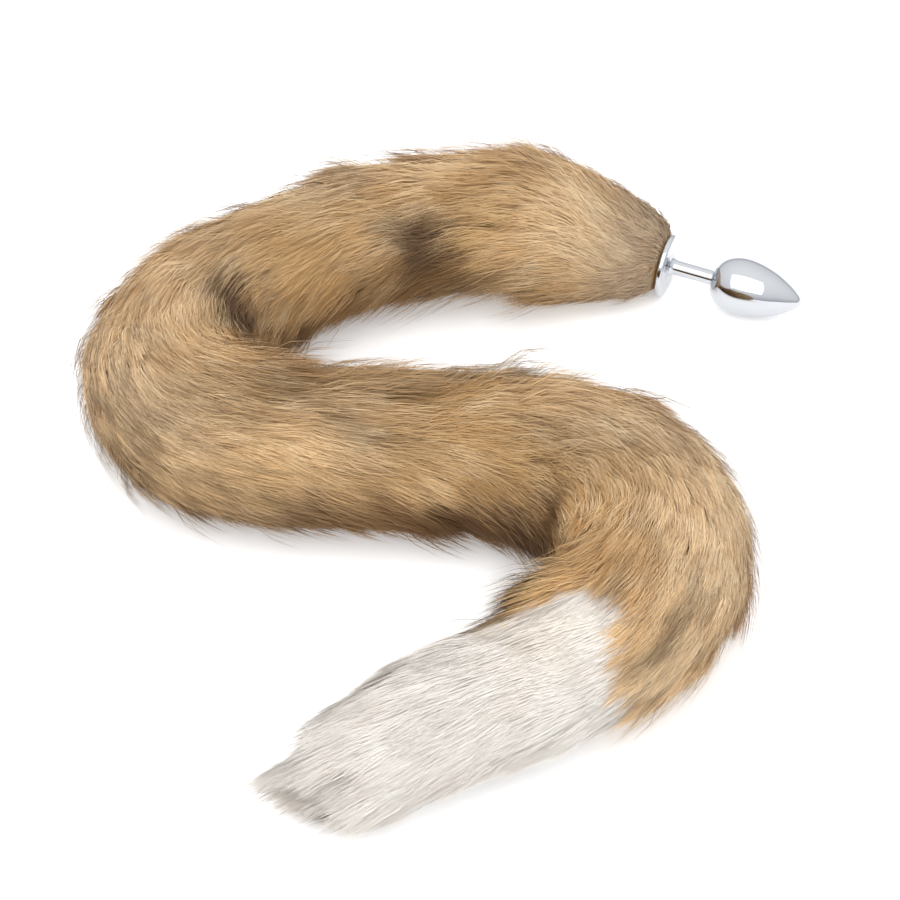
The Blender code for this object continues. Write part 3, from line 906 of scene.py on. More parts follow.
@dataclass
class FurSkin:
    """The underfur: a smooth closed skin inside the fur, which the hairs grow on."""

    path: TailPath
    reach: float = 0.80
    around: int = 72
    spacing: float = 0.003
    # how far past its root a hair is mostly seen, and the longest hair at the tip
    drawn: float = 0.014
    tip_hair: float = 0.030

    def grid(self, start: float, end: float) -> tuple[np.ndarray, np.ndarray]:
        """Distances and angles of a patch of skin, as two arrays of rows by columns."""
        rows = max(4, int((end - start) / self.spacing))
        ramp = np.linspace(start, end, rows + 1)
        if start <= 0.0:
            fine = np.array([0.0, 0.0004, 0.001, 0.0018]) + start
            ramp = np.concatenate([fine, ramp[1:]])
        angles = np.arange(self.around) * math.tau / self.around
        return np.meshgrid(ramp, angles, indexing="ij")

    def points(self, distance: np.ndarray, angle: np.ndarray) -> np.ndarray:
        """Skin points in the straight frame, with slow swells like those of real fur."""
        share = distance / self.path.length
        swell = self.waves(SKIN_WAVES, share, angle)
        degrees = wrapped(np.degrees(angle))
        for row in SKIN_SWELLS:
            swell += row[-1] * self.patches((row[:-1] + (1.0,),), distance, degrees)
        swell -= 0.04 * (1.0 - ease(distance / 0.07))
        swell += 0.05 * ease((share - 0.80) / 0.08)
        end = self.path.length - 0.024
        closing = np.sqrt(np.clip((end - distance) / 0.030, 0.0, 1.0))
        reach = self.reach * (1.0 + swell) * closing
        points = self.path.straight_point(distance, angle, reach)
        inner = self.path.middle(distance)
        points[..., 2] = np.where(points[..., 2] < 0.0015, 0.0015, points[..., 2])
        points[..., 2] = points[..., 2] * closing + inner * 0.55 * (1.0 - closing)
        return points

    def comb(self, distance: np.ndarray, angle: np.ndarray) -> np.ndarray:
        """How far the hair leans round the tail: down its sides, with slow swirls."""
        share = distance / self.path.length
        swirl = self.waves(COMB_WAVES, share, angle)
        calm = ease((distance - 0.02) / 0.05) * ease((self.path.length - 0.03 - distance) / 0.10)
        return (swirl - 0.22 * np.cos(angle)) * calm

    def frames(self, distance: np.ndarray, angle: np.ndarray) -> tuple[np.ndarray, np.ndarray]:
        """Directions of flow and outwards at points of the skin, in the straight frame."""
        small = 0.0006
        behind = np.maximum(distance - small, 0.0)
        ahead = self.points(distance + small, angle) - self.points(behind, angle)
        around = self.points(distance, angle + 0.03) - self.points(distance, angle - 0.03)
        flow = ahead / np.maximum(np.linalg.norm(ahead, axis=-1, keepdims=True), 1e-9)
        tangent = around / np.maximum(np.linalg.norm(around, axis=-1, keepdims=True), 1e-9)
        level = ease((distance - (self.path.length - 0.056)) / 0.022)[..., None]
        flow = flow * (1.0 - level) + np.array([0.0, 1.0, 0.0]) * level
        out = np.cross(around, flow)
        flow = flow + tangent * self.comb(distance, angle)[..., None]
        flow = flow / np.maximum(np.linalg.norm(flow, axis=-1, keepdims=True), 1e-9)
        length = np.linalg.norm(out, axis=-1, keepdims=True)
        round_out = np.stack([np.cos(angle), np.zeros_like(angle), np.sin(angle)], axis=-1)
        out = np.where(length > 1e-7, out / np.maximum(length, 1e-9), round_out)
        flipped = np.sum(out * round_out, axis=-1, keepdims=True) < -0.2
        return flow, np.where(flipped, -out, out)

    @staticmethod
    def waves(table: Table, share: np.ndarray, angle: np.ndarray) -> np.ndarray:
        """Sum of a table's slow waves at shares of the tail's length and angles round it."""
        total = np.zeros_like(share)
        for height, along, around, shift in table:
            total += height * np.sin(along * share + around * angle + shift)
        return total

    @staticmethod
    def patches(table: Table, distance: np.ndarray, degrees: np.ndarray) -> np.ndarray:
        """Strength of a table's soft patches at distances along the tail and angles round it."""
        total = np.zeros_like(distance)
        for place, around, half_long, half_wide, slant, strength in table:
            along = (distance - place) / half_long
            beside = wrapped(degrees - around - slant * (distance - place)) / half_wide
            total = np.maximum(total, strength * np.exp(-(along**2) - beside**2))
        return total

    def details(self, distance: np.ndarray, angle: np.ndarray) -> dict[str, np.ndarray]:
        """Values that steer the fur's growth and colour, for each skin point."""
        path = self.path
        degrees = wrapped(np.degrees(angle))
        bend = np.interp(distance, path.distances, path.bends)
        offset = np.cos(angle) * path.half_width(distance, np.cos(angle)) * self.reach
        stretch = np.clip(1.0 + bend * offset, 0.35, 2.2)
        outer = np.clip(bend * offset, 0.0, 1.0)
        near_flange = ease(distance / 0.055)
        near_tip = ease((distance - (path.length - 0.10)) / 0.07)
        long = (0.50 + 0.50 * near_flange) * (1.0 + 0.40 * near_tip)
        long = long / np.clip(stretch, 0.8, 1.6)
        end = path.length - 0.010 + 0.010 * np.cos(angle)
        long = np.minimum(long, np.maximum(end - distance, 0.014) / self.tip_hair)
        lift = 0.85 + 1.20 * outer - 0.25 * near_tip - 0.20 * (1.0 - near_flange)
        under = ease((np.sin(angle) + 0.75) / 0.5)
        lift = lift * (0.35 + 0.65 * under)
        lift = lift + 1.1 * self.patches(TUFTS, distance, degrees)
        density = 0.30 + 0.70 * under
        density = density * np.where(distance > path.length - 0.10, 1.25, 1.0)
        seen = distance + self.drawn
        white = ease((seen - path.seam(angle)) / 0.008 + 0.5)
        share = distance / path.length
        brown = 0.42 + 0.30 * np.sin(31.0 * share + 1.7 * np.sin(angle * 2.0) + 0.6)
        brown += 0.22 * np.sin(57.0 * share - 2.0 * angle)
        # painted shade: the fur darker and browner on its underside
        painted_under_shade = 1.0 - ease((np.sin(angle) + 0.02) / 0.78)
        painted_under_shade = painted_under_shade * read_table(PAINTED_UNDER_SHADE_AND_BROWN, share, 1)
        brown = brown * read_table(PAINTED_UNDER_SHADE_AND_BROWN, share, 2)
        return {
            "long": long,
            "lift": lift,
            "density": density,
            # dark streaks of the fur, and painted shade in creases and underneath
            "dark": self.patches(DARK_STREAKS_AND_PAINTED_SHADE, seen, degrees),
            "gold": self.patches(GOLD_PATCHES, seen, degrees),
            # pale fur, and painted highlights where the light falls
            "pale": self.patches(PALE_FUR_AND_PAINTED_LIGHT, seen, degrees),
            "white": white,
            "outer": outer,
            "brown": np.clip(brown, 0.0, 1.0),
            # painted shade underneath
            "under": painted_under_shade,
            # painted shade: greyer and darker near the flange, where the fur meets the plug
            "flange": 1.0 - ease((distance - 0.004) / 0.034),
        }

    def mesh(self, name: str, start: float, end: float, closed: bool = False) -> bpy.types.Mesh:
        """Makes the skin between two distances, as it lies, with the fur's values on it.

        Args:
            name: Name of the mesh.
            start: Where it starts, along the tail.
            end: Where it ends.
            closed: Whether both ends get a face.

        Returns:
            The mesh, with its place in the straight frame as the attribute bed.
        """
        distance, angle = self.grid(start, end)
        straight = self.points(distance, angle)
        flow, out = self.frames(distance, angle)
        rows, columns = distance.shape
        index = np.arange(rows * columns).reshape(rows, columns)
        across = np.roll(index, -1, axis=1)
        faces = np.stack([index[:-1], across[:-1], across[1:], index[1:]], axis=-1).reshape(-1, 4)
        faces = [tuple(face) for face in faces[:, ::-1].tolist()]
        if closed:
            faces.append(tuple(index[0].tolist()))
            faces.append(tuple(index[-1][::-1].tolist()))
        mesh = bpy.data.meshes.new(name)
        mesh.from_pydata(self.path.bent(straight).reshape(-1, 3).tolist(), [], faces)
        put_attribute(mesh, "bed", straight.reshape(-1, 3))
        put_attribute(mesh, "flow", flow.reshape(-1, 3))
        put_attribute(mesh, "out", out.reshape(-1, 3))
        for key, values in self.details(distance, angle).items():
            put_attribute(mesh, key, values.ravel())
        mesh.shade_smooth()
        return mesh


class ShadeGroup(Nodes):
    """A shader node group with named inputs and outputs, which materials share."""

    def __init__(self, name: str, inputs: dict[str, str], outputs: dict[str, str]) -> None:
        """Makes the empty group.

        Args:
            name: Name of the group.
            inputs: Socket types, by the inputs' names.
            outputs: Socket types, by the outputs' names.
        """
        super().__init__(bpy.data.node_groups.new(name, "ShaderNodeTree"))
        for sockets, way in ((inputs, "INPUT"), (outputs, "OUTPUT")):
            for label, kind in sockets.items():
                self.tree.interface.new_socket(label, in_out=way, socket_type=kind)
        self.given = self.tree.nodes.new("NodeGroupInput").outputs
        self.result = self.tree.nodes.new("NodeGroupOutput").inputs

    def use(self, nodes: Nodes, values: dict[str, object]) -> Socket:
        """Adds the group to a material's tree.

        Args:
            nodes: The material's nodes.
            values: Values or sockets, by the inputs' names.

        Returns:
            The group's first output there.
        """
        return nodes.add("ShaderNodeGroup", values, node_tree=self.tree).outputs[0]


class Mottle(ShadeGroup):
    """Fine clouds in the object's own space, from 0 to 1."""

    def __init__(self) -> None:
        """Builds the group."""
        sockets = {"Scale": "NodeSocketFloat", "Detail": "NodeSocketFloat"}
        super().__init__("mottle", sockets, {"Value": "NodeSocketFloat"})
        place = self.add("ShaderNodeTexCoord").outputs["Object"]
        sizes = {name: self.given[name] for name in sockets}
        clouds = self.add("ShaderNodeTexNoise", {"Vector": place, **sizes})
        self.put(self.result["Value"], clouds.outputs[0])


class HairColour(ShadeGroup):
    """A hair's colour from its chances, its place on the tail and the share along it."""

    COLOURS: tuple[str, ...] = ("Light", "Mid", "Deep", "Gold", "Pale", "Brown", "Grey", "Dark")
    NUMBERS: tuple[str, ...] = ("Root Shade", "Under Share")

    def __init__(self) -> None:
        """Builds the group."""
        sockets = {name: "NodeSocketColor" for name in self.COLOURS}
        sockets.update({name: "NodeSocketFloat" for name in self.NUMBERS})
        super().__init__("hair_colour", sockets, {"Colour": "NodeSocketColor"})
        given = self.given
        along, tone = self.value("along"), self.value("tone")
        colour = self.blend(self.span(tone, 0.22, 0.50), given["Deep"], given["Mid"])
        colour = self.blend(self.span(tone, 0.50, 0.80), colour, given["Light"])
        varied = self.math("MULTIPLY_ADD", tone, -0.7, 1.25)
        colour = self.blend(self.math("MULTIPLY", self.value("gold"), 0.85), colour, given["Gold"])
        brown = self.math("MULTIPLY", self.math("MULTIPLY", self.value("brown"), 0.55), varied)
        # painted shade underneath, blended towards the brown colour together with the brown streaks
        under = self.math("MULTIPLY", self.value("under"), given["Under Share"])
        brown = self.math("MINIMUM", self.math("MAXIMUM", brown, under), 0.92)
        colour = self.blend(brown, colour, given["Brown"])
        # pale fur and painted highlights, blended towards the pale colour
        pale = self.math("MULTIPLY", self.value("pale"), self.math("MULTIPLY_ADD", tone, 0.5, 0.55))
        colour = self.blend(self.math("MINIMUM", pale, 0.95), colour, given["Pale"])
        # painted shade near the flange, blended towards its grey-brown colour
        flange_shade_share = self.math("MULTIPLY", self.math("MULTIPLY", self.value("flange"), 0.85), varied)
        colour = self.blend(self.math("MINIMUM", flange_shade_share, 0.80), colour, given["Grey"])
        # dark streaks, and painted shade in creases and underneath, blended towards the dark colour
        dark = self.math("MINIMUM", self.math("MULTIPLY", self.value("dark"), varied), 0.92)
        colour = self.blend(dark, colour, given["Dark"])
        tips = self.math("MULTIPLY", self.value("guard"), self.math("POWER", along, 1.5))
        reach = self.math("MULTIPLY_ADD", self.value("outer"), 1.2, 0.40)
        tips = self.math("MINIMUM", self.math("MULTIPLY", tips, reach), 0.92)
        colour = self.blend(tips, colour, given["Dark"])
        shade = self.mixed(self.span(along, 0.0, 0.65), given["Root Shade"], 1.0)
        colour = self.blend(1.0, colour, self.joined(shade, shade, shade), "MULTIPLY")
        self.put(self.result["Colour"], colour)

    def value(self, name: str) -> Socket:
        """Reads one of the hairs' attributes."""
        return self.add("ShaderNodeAttribute", attribute_name=name).outputs["Fac"]

    def span(self, value: Socket, low: float, high: float) -> Socket:
        """How far a value lies between two others, from 0 to 1."""
        return self.add("ShaderNodeMapRange", {0: value, 1: low, 2: high}).outputs[0]

    def blend(self, share: object, first: Socket, second: Socket, kind: str = "MIX") -> Socket:
        """Blends two colours by a share."""
        values = {0: share, 6: first, 7: second}
        return self.add("ShaderNodeMix", values, data_type="RGBA", blend_type=kind).outputs[2]


@dataclass(frozen=True)
class Effects:
    """The shader node groups that the materials share."""

    mottle: Mottle
    hair_colour: HairColour


@dataclass(frozen=True)
class MetalFinish:
    """Mirror-polished metal with faint haze and wipe marks."""

    colour: tuple[float, float, float] = (0.56, 0.575, 0.60)
    roughness: float = 0.045
    haze: float = 0.05

    def material(self, effects: Effects) -> bpy.types.Material:
        """Builds the material on the shared effects."""
        material = bpy.data.materials.new("polished_metal")
        material.use_nodes = True
        nodes = Nodes(material.node_tree)
        shader = material.node_tree.nodes["Principled BSDF"]
        shader.inputs["Metallic"].default_value = 1.0
        place = nodes.add("ShaderNodeTexCoord").outputs["Object"]
        clouds = effects.mottle.use(nodes, {"Scale": 160.0, "Detail": 4.0})
        stretched = nodes.vector("MULTIPLY", place, (900.0, 120.0, 900.0))
        wipes = nodes.add("ShaderNodeTexNoise", {"Vector": stretched, "Scale": 1.0})
        marks = nodes.math("MULTIPLY", clouds, wipes.outputs[0])
        rough = nodes.math("MULTIPLY_ADD", marks, self.haze, self.roughness)
        nodes.put(shader.inputs["Roughness"], rough)
        low = tuple(c * 0.97 for c in self.colour)
        values = {0: clouds, 6: (*low, 1.0), 7: (*self.colour, 1.0)}
        tint = nodes.add("ShaderNodeMix", values, data_type="RGBA")
        nodes.put(shader.inputs["Base Color"], tint.outputs[2])
        return material


@dataclass(frozen=True)
class FurFinish:
    """Colours of one coat of fur, from root to tip."""

    name: str
    light: tuple[float, float, float]
    mid: tuple[float, float, float]
    deep: tuple[float, float, float]
    gold: tuple[float, float, float]
    # colour of pale fur and of the painted highlights
    pale: tuple[float, float, float]
    # colour of the brown streaks, and of the painted shade underneath
    brown: tuple[float, float, float]
    # colour of the painted shade near the flange
    grey: tuple[float, float, float]
    # colour of the dark streaks and guard hair tips, and of the painted shade in creases
    dark: tuple[float, float, float]
    root_shade: float = 0.80
    painted_under_shade_share: float = 0.80
    roughness: float = 0.60

    def material(self, effects: Effects) -> bpy.types.Material:
        """Builds the material on the shared effects."""
        material = bpy.data.materials.new(self.name)
        material.use_nodes = True
        nodes = Nodes(material.node_tree)
        shader = material.node_tree.nodes["Principled BSDF"]
        shader.inputs["Roughness"].default_value = self.roughness
        shader.inputs["Specular IOR Level"].default_value = 0.22
        shader.inputs["Sheen Weight"].default_value = 0.10
        shader.inputs["Sheen Roughness"].default_value = 0.50
        colours = (self.light, self.mid, self.deep, self.gold, self.pale, self.brown, self.grey, self.dark)
        values = {name: (*colour, 1.0) for name, colour in zip(HairColour.COLOURS, colours)}
        values.update(zip(HairColour.NUMBERS, (self.root_shade, self.painted_under_shade_share)))
        nodes.put(shader.inputs["Base Color"], effects.hair_colour.use(nodes, values))
        return material


@dataclass(frozen=True)
class UnderfurFinish:
    """Short dense underfur: dark between the wisps, with a fine mottle."""

    name: str
    low: tuple[float, float, float]
    high: tuple[float, float, float]

    def material(self, effects: Effects) -> bpy.types.Material:
        """Builds the material on the shared effects."""
        material = bpy.data.materials.new(self.name)
        material.use_nodes = True
        nodes = Nodes(material.node_tree)
        shader = material.node_tree.nodes["Principled BSDF"]
        shader.inputs["Roughness"].default_value = 0.95
        shader.inputs["Specular IOR Level"].default_value = 0.10
        mottle = effects.mottle.use(nodes, {"Scale": 420.0, "Detail": 3.0})
        values = {0: mottle, 6: (*self.low, 1.0), 7: (*self.high, 1.0)}
        tint = nodes.add("ShaderNodeMix", values, data_type="RGBA")
        nodes.put(shader.inputs["Base Color"], tint.outputs[2])
        return material


TAN_FINISH = FurFinish(
    name="tan_fur",
    light=(0.80, 0.60, 0.36),
    mid=(0.74, 0.48, 0.225),
    deep=(0.62, 0.355, 0.135),
    gold=(0.88, 0.57, 0.24),
    pale=(0.97, 0.76, 0.49),
    brown=(0.25, 0.128, 0.044),
    grey=(0.40, 0.30, 0.21),
    dark=(0.085, 0.040, 0.016),
)
WHITE_FINISH = FurFinish(
    name="white_fur",
    light=(0.78, 0.75, 0.705),
    mid=(0.76, 0.72, 0.675),
    deep=(0.74, 0.69, 0.635),
    gold=(0.74, 0.655, 0.545),
    pale=(0.80, 0.77, 0.73),
    brown=(0.70, 0.635, 0.57),
    grey=(0.74, 0.70, 0.66),
    dark=(0.68, 0.61, 0.54),
    root_shade=1.0,
    painted_under_shade_share=0.40,
)


@dataclass
class MetalPlug:
    """The turned plug: teardrop bulb, slim neck, flange with a rounded rim."""

    path: TailPath
    effects: Effects
    sizes: PlugSizes = field(default_factory=PlugSizes)
    steps: int = 128
    fine: int = 6
    arc_steps: int = 12

    def arc(self, centre: Point, radius: float, start: float, end: float) -> list[Point]:
        """Points of an arc about a (radius, height) centre, its angles in degrees."""
        turns = np.radians(np.linspace(start, end, self.arc_steps + 1))
        return [(centre[0] + radius * math.cos(a), centre[1] + radius * math.sin(a)) for a in turns]

    def bulb(self) -> list[Point]:
        """The bulb's profile from its tip to the neck, as one smooth curve through its sections."""
        base = self.sizes.flange_thickness + self.sizes.neck_length
        rows = np.array(BULB_SECTIONS)[::-1]
        radii = rows[:, 1] * self.sizes.bulb_diameter / 2
        heights = base + rows[:, 0] * self.sizes.bulb_length
        knots = np.concatenate([[0.0], np.cumsum(np.hypot(np.diff(radii), np.diff(heights)))])
        mirrored = (-knots[1], -radii[1], heights[1])
        knots = np.concatenate([[mirrored[0]], knots])
        radii = np.concatenate([[mirrored[1]], radii])
        heights = np.concatenate([[mirrored[2]], heights])
        points = []
        for i in range(1, len(knots) - 1):
            before, after = i - 1, min(i + 2, len(knots) - 1)
            for j in range(self.fine):
                share = j / self.fine
                points.append(
                    tuple(
                        self._hermite(values, knots, before, i, i + 1, after, share)
                        for values in (radii, heights)
                    )
                )
        points.append((float(radii[-1]), float(heights[-1])))
        neck = self.sizes.neck_diameter / 2
        kept = [(max(0.0, r), z) for r, z in points if r > neck or z > base + 0.01]
        kept[0] = (0.0, kept[0][1])
        return kept

    @staticmethod
    def _hermite(v: np.ndarray, k: np.ndarray, a: int, b: int, c: int, d: int, share: float) -> float:
        """One value of a smooth curve between knots b and c, with slopes from a and d."""
        span = k[c] - k[b]
        slope_b = (v[c] - v[a]) / (k[c] - k[a]) * span
        slope_c = (v[d] - v[b]) / (k[d] - k[b]) * span
        s = share
        return float(
            v[b] * (1 + 2 * s) * (1 - s) ** 2
            + slope_b * s * (1 - s) ** 2
            + v[c] * s * s * (3 - 2 * s)
            + slope_c * s * s * (s - 1)
        )

    def profile(self) -> list[Point]:
        """The whole profile, from the bulb's tip down to the middle of the flange's back."""
        s = self.sizes
        neck, thick, round_ = s.neck_diameter / 2, s.flange_thickness, s.flange_edge_round
        rim = s.flange_diameter / 2 - round_
        points = self.bulb()
        points.append((neck, thick + s.neck_length))
        fillet = s.neck_fillet
        points += self.arc((neck + fillet, thick + fillet), fillet, 180.0, 270.0)
        points += self.arc((rim, thick - round_), round_, 90.0, 0.0)
        points += self.arc((rim, round_), round_, 0.0, -90.0)[1:]
        points.append((0.0, 0.0))
        return points

    def build(self) -> bpy.types.Object:
        """Turns the profile and lays the plug on its flange and bulb."""
        mesh = bpy.data.meshes.new("plug_turned")
        profile = self.profile()
        mesh.from_pydata(
            [(r, 0.0, z) for r, z in profile], [(i, i + 1) for i in range(len(profile) - 1)], []
        )
        item = bpy.data.objects.new("plug_turned", mesh)
        bpy.context.scene.collection.objects.link(item)
        screw = item.modifiers.new("turn", "SCREW")
        screw.axis, screw.angle = "Z", math.tau
        screw.steps = screw.render_steps = self.steps
        screw.use_merge_vertices = True
        screw.merge_threshold = 0.000002
        turned = bake_modifiers(item, "polished_plug")
        turn = Vector((0.0, 0.0, 1.0)).rotation_difference(self.path.axis).to_matrix().to_4x4()
        turned.data.transform(Matrix.Translation(self.path.flange) @ turn)
        turned.data.shade_smooth()
        turned.data.set_sharp_from_angle(angle=math.radians(50.0))
        turned.data.materials.append(MetalFinish().material(self.effects))
        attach(turned, BODY)
        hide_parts("plug")
        report(turned)
        return turned

    def dress_post(self) -> None:
        """Gives the hidden post its plain turned finish."""
        finish = MetalFinish(colour=(0.55, 0.56, 0.58), roughness=0.32, haze=0.10)
        material = finish.material(self.effects)
        material.name = "post_metal"
        post = frame["nodes"]["tail_post"]
        post.data.materials.clear()
        post.data.materials.append(material)


def bake_modifiers(item: bpy.types.Object, name: str) -> bpy.types.Object:
    """Turns an object and its modifiers into a new plain mesh object, and removes the old one.

    Args:
        item: The object to evaluate.
        name: Name of the new object.

    Returns:
        The new object, with no modifiers.
    """
    bpy.context.view_layer.update()
    graph = bpy.context.evaluated_depsgraph_get()
    mesh = bpy.data.meshes.new_from_object(item.evaluated_get(graph), depsgraph=graph)
    mesh.name = name
    result = bpy.data.objects.new(name, mesh)
    bpy.context.scene.collection.objects.link(result)
    bpy.data.objects.remove(item, do_unlink=True)
    return result


def report(piece: bpy.types.Object) -> None:
    """Logs a piece's name and size."""
    mesh = piece.data
    mesh.calc_loop_triangles()
    LOG.info("%s: %d triangles", piece.name, len(mesh.loop_triangles))


@dataclass
class FurCoat:
    """The whole coat: underfur skins, and the fur in pieces that share one tree."""

    path: TailPath
    effects: Effects
    skin: FurSkin = field(init=False)
    hairs_tan: int = 61500
    hairs_white: int = 61500
    uv_columns: int = 300

    def __post_init__(self) -> None:
        """Makes the skin's maker and the shared helpers."""
        self.skin = FurSkin(self.path)
        self.tree = FurTree()
        self.strand = StrandShape().build()
        self.guide = self.path.guide_mesh()

    def skin_area(self, mesh: bpy.types.Mesh) -> float:
        """Area of a skin, each face weighted with the hairs' density there."""
        count = len(mesh.polygons)
        area = np.empty(count, dtype=np.float32)
        mesh.polygons.foreach_get("area", area)
        loops = np.empty(len(mesh.loops), dtype=np.int32)
        mesh.loops.foreach_get("vertex_index", loops)
        density = read_attribute(mesh, "density")
        return float(np.sum(area * density[loops.reshape(count, 4)].mean(axis=1)))

    def underfur(self, coat: Coat, start: float, end: float, finish: UnderfurFinish) -> bpy.types.Object:
        """Makes one closed skin in place of a CAD solid."""
        name = f"underfur_{coat.name.lower()}"
        mesh = self.skin.mesh(name, start, end, closed=True)
        drop_attributes(mesh, (*GROWTH, "outer", "flange", "brown", "dark", "gold", "pale", "under"))
        mesh.materials.append(finish.material(self.effects))
        item = bpy.data.objects.new(name, mesh)
        bpy.context.scene.collection.objects.link(item)
        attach(item, BODY)
        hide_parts(coat.node)
        report(item)
        return item

    def grow(
        self, name: str, coat: Coat, span: Point, look: FurLook, count: int, material: bpy.types.Material
    ) -> bpy.types.Object:
        """Grows one piece of fur on a stretch of the skin.

        Args:
            name: Name of the piece.
            coat: Its colour.
            span: Where it starts and ends along the tail.
            look: How its hairs grow.
            count: How many hairs it has.
            material: Its material.

        Returns:
            The finished piece.
        """
        mesh = self.skin.mesh(name, *span)
        white = read_attribute(mesh, "white")
        share = white if coat is Coat.WHITE else 1.0 - white
        density = read_attribute(mesh, "density") * share
        mesh.attributes["density"].data.foreach_set("value", density)
        seed_item = bpy.data.objects.new(name + "_skin", mesh)
        bpy.context.scene.collection.objects.link(seed_item)
        modifier = seed_item.modifiers.new("fur", "NODES")
        modifier.node_group = self.tree.tree
        values = {
            "hairs": count / self.skin_area(mesh),
            "wisps": 1.0 / look.wisp_spacing**2,
            "locks": 1.0 / look.lock_spacing**2,
            "before": -float(self.path.distances[0]),
            "base": self.path.start.z,
        }
        sockets = self.tree.tree.interface.items_tree
        keys = {socket.name: socket.identifier for socket in sockets if socket.in_out == "INPUT"}
        for label, key in FurTree.SIZES:
            modifier[keys[label]] = float(values[key] if key in values else getattr(look, key))
        modifier[keys["Seed"]] = look.seed * 100
        modifier[keys["Strand"]] = self.strand
        modifier[keys["Path"]] = self.guide
        modifier[keys["Material"]] = material
        piece = bake_modifiers(seed_item, name)
        self._shade(piece, look.smoothing)
        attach(piece, BODY)
        report(piece)
        return piece

    def _shade(self, piece: bpy.types.Object, smoothing: float) -> None:
        """Blends each hair's normals with the coat's own, and lays out its texture columns."""
        mesh = piece.data
        count = len(mesh.vertices)
        own = np.empty(count * 3, dtype=np.float32)
        mesh.vertices.foreach_get("normal", own)
        facing = np.empty(count * 3, dtype=np.float32)
        mesh.attributes["facing"].data.foreach_get("vector", facing)
        own, facing = own.reshape(-1, 3), facing.reshape(-1, 3)
        normal = own * (1.0 - smoothing) + facing * smoothing
        normal /= np.maximum(np.linalg.norm(normal, axis=1, keepdims=True), 1e-6)
        mesh.normals_split_custom_set_from_vertices(normal)
        values = {}
        for name in ("along", "side", "order"):
            values[name] = read_attribute(mesh, name)
        column = values["order"] % self.uv_columns
        row = values["order"] // self.uv_columns
        rows = float(row.max() + 1.0)
        u = (column + 0.5 + 0.38 * values["side"]) / self.uv_columns
        v = (row + 0.08 + 0.84 * values["along"]) / rows
        loops = np.empty(len(mesh.loops), dtype=np.int32)
        mesh.loops.foreach_get("vertex_index", loops)
        uv = np.stack([u[loops], v[loops]], axis=1).astype(np.float32)
        mesh.uv_layers.new(name="OFBake").data.foreach_set("uv", uv.ravel())
        drop_attributes(mesh, (*GROWTH, *HAIR_CHANCES))

    def build(self) -> None:
        """Makes the skins and every piece of fur."""
        path = self.path
        seam = path.length - path.white_length
        end = path.length - 0.0241
        tan_under = UnderfurFinish("tan_underfur", (0.30, 0.17, 0.07), (0.46, 0.28, 0.13))
        white_under = UnderfurFinish("white_underfur", (0.76, 0.72, 0.67), (0.80, 0.76, 0.71))
        self.underfur(Coat.TAN, 0.0, seam, tan_under)
        self.underfur(Coat.WHITE, seam, end, white_under)
        tan = TAN_FINISH.material(self.effects)
        white = WHITE_FINISH.material(self.effects)
        edges = (0.0, 0.150, 0.300, 0.450, seam + 0.05)
        for number, span in enumerate(zip(edges, edges[1:]), 1):
            look = FurLook(seed=number)
            self.grow(f"tan_fur_{number}", Coat.TAN, span, look, self.hairs_tan, tan)
        look = FurLook(
            seed=9, width=0.00036, rise=0.15, relief=0.0002, wisp_pull=0.24, lock_pull=0.12,
            sway_hair=0.20, sway_wisp=0.10, sway_lock=0.10, roll=0.3, guard_share=0.0, smoothing=1.0,
        )
        self.grow("white_fur", Coat.WHITE, (seam - 0.03, end), look, self.hairs_white, white)
        for helper in (self.strand, self.guide):
            bpy.data.objects.remove(helper, do_unlink=True)


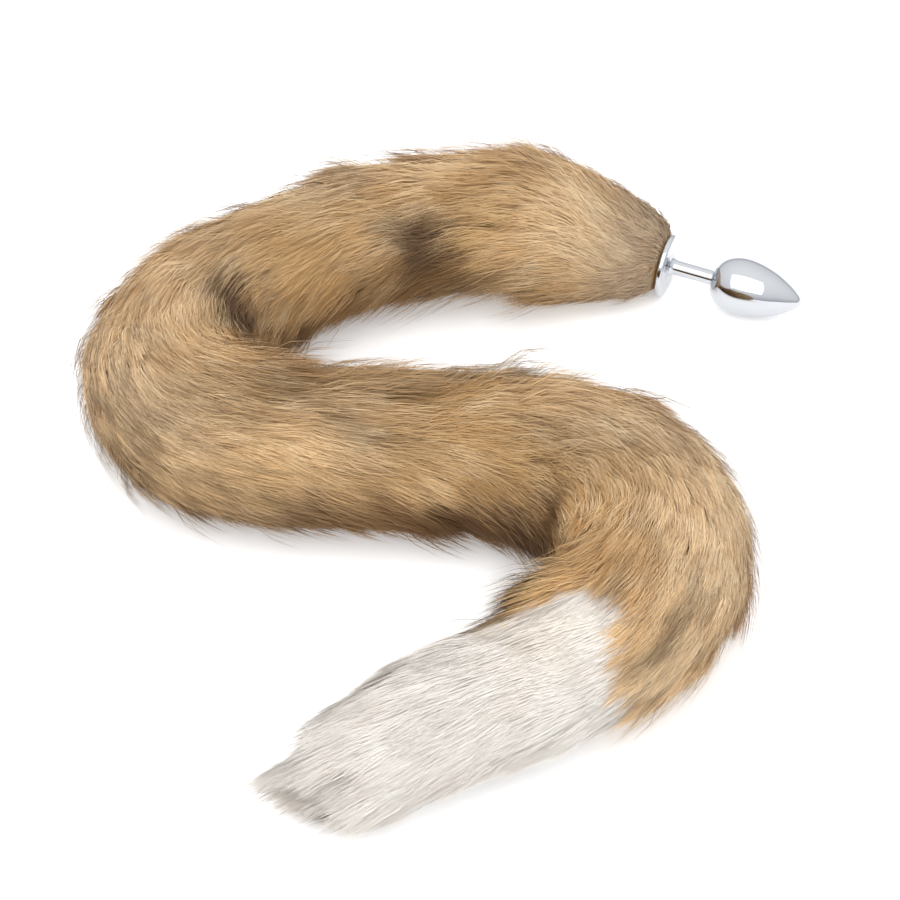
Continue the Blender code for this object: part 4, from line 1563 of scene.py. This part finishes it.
@dataclass
class Studio:
    """Pale floor, soft light and the camera at the photograph's angle."""

    path: TailPath
    elevation: float = math.radians(45.0)
    view: float = math.radians(14.0)
    distance: float = 1.6954
    # the flange as seen from the point that the camera looks at
    flange_from_aim: Vector = field(default_factory=lambda: Vector((0.1029, 0.1099, 0.0165)))
    floor_size: float = 12.0

    def camera(self) -> None:
        """Makes the camera."""
        data = bpy.data.cameras.new("camera")
        data.angle = self.view
        data.clip_start = 0.05
        item = bpy.data.objects.new("camera", data)
        bpy.context.scene.collection.objects.link(item)
        ahead = Vector((0.0, math.cos(self.elevation), -math.sin(self.elevation)))
        aim = self.path.flange - self.flange_from_aim
        item.location = aim - ahead * self.distance
        item.rotation_euler = ahead.to_track_quat("-Z", "Y").to_euler()
        bpy.context.scene.camera = item

    def floor(self) -> None:
        """Makes the pale floor."""
        half = self.floor_size / 2
        mesh = bpy.data.meshes.new("floor")
        corners = [(-half, -half, 0.0), (half, -half, 0.0), (half, half, 0.0), (-half, half, 0.0)]
        mesh.from_pydata(corners, [], [(0, 1, 2, 3)])
        material = bpy.data.materials.new("floor")
        material.use_nodes = True
        shader = material.node_tree.nodes["Principled BSDF"]
        shader.inputs["Base Color"].default_value = (0.90, 0.90, 0.90, 1.0)
        shader.inputs["Emission Color"].default_value = (1.0, 1.0, 1.0, 1.0)
        shader.inputs["Emission Strength"].default_value = 0.30
        shader.inputs["Roughness"].default_value = 0.9
        shader.inputs["Specular IOR Level"].default_value = 0.0
        mesh.materials.append(material)
        item = bpy.data.objects.new("floor", mesh)
        bpy.context.scene.collection.objects.link(item)

    def light(self, name: str, place: tuple[float, float, float], size: float, power: float) -> None:
        """Makes one soft light that points at the object."""
        data = bpy.data.lights.new(name, "AREA")
        data.size = size
        data.energy = power
        item = bpy.data.objects.new(name, data)
        bpy.context.scene.collection.objects.link(item)
        item.location = place
        item.rotation_euler = (-Vector(place)).to_track_quat("-Z", "Y").to_euler()

    def _opening(self, nodes: Nodes) -> Socket:
        """How far a direction looks into the light tent's dark opening, at the front."""
        direction = nodes.add("ShaderNodeTexCoord").outputs["Generated"]
        level, rise = math.cos(self.elevation), math.sin(self.elevation)
        beside = nodes.vector("DOT_PRODUCT", direction, (1.0, 0.0, 0.0))
        across = nodes.math("ABSOLUTE", nodes.math("ADD", beside, 0.38))
        upward = nodes.math("ABSOLUTE", nodes.vector("DOT_PRODUCT", direction, (0.0, rise, level)))
        ahead = nodes.vector("DOT_PRODUCT", direction, (0.0, -level, rise))
        edge = nodes.math("MAXIMUM", nodes.math("DIVIDE", across, 0.20), nodes.math("DIVIDE", upward, 0.22))
        inside = nodes.add("ShaderNodeMapRange", {0: edge, 1: 1.1, 2: 0.85, 3: 0.0, 4: 1.0})
        return nodes.math("MULTIPLY", inside.outputs[0], nodes.math("GREATER_THAN", ahead, 0.0))

    def build(self) -> None:
        """Makes the camera, the floor, the lights and the pale surroundings."""
        self.camera()
        self.floor()
        self.light("key", (-0.25, -0.9, 1.55), 2.0, 22.0)
        world = bpy.data.worlds.new("studio")
        world.use_nodes = True
        nodes = Nodes(world.node_tree)
        _, _, upward = nodes.split(nodes.add("ShaderNodeTexCoord").outputs["Generated"])
        ramp = nodes.add("ShaderNodeValToRGB", {0: upward})
        stops = ramp.color_ramp.elements
        stops[0].position, stops[0].color = 0.0, (0.42, 0.43, 0.45, 1.0)
        stops[1].position, stops[1].color = 1.0, (1.0, 1.0, 1.0, 1.0)
        stops.new(0.35).color = (0.78, 0.79, 0.81, 1.0)
        opening = self._opening(nodes)
        values = {0: opening, 6: ramp.outputs[0], 7: (0.03, 0.028, 0.026, 1.0)}
        lit = nodes.add("ShaderNodeMix", values, data_type="RGBA")
        ground = world.node_tree.nodes["Background"]
        nodes.put(ground.inputs["Color"], lit.outputs[2])
        ground.inputs["Strength"].default_value = 1.30
        bpy.context.scene.world = world
        bpy.context.scene.view_settings.view_transform = "Standard"


def main() -> None:
    """Builds the studio, the plug and the fur."""
    logging.basicConfig(level=logging.INFO, format="%(message)s")
    path = TailPath()
    Studio(path).build()
    effects = Effects(mottle=Mottle(), hair_colour=HairColour())
    plug = MetalPlug(path, effects)
    plug.build()
    plug.dress_post()
    FurCoat(path, effects).build()


if __name__ == "__main__":
    main()
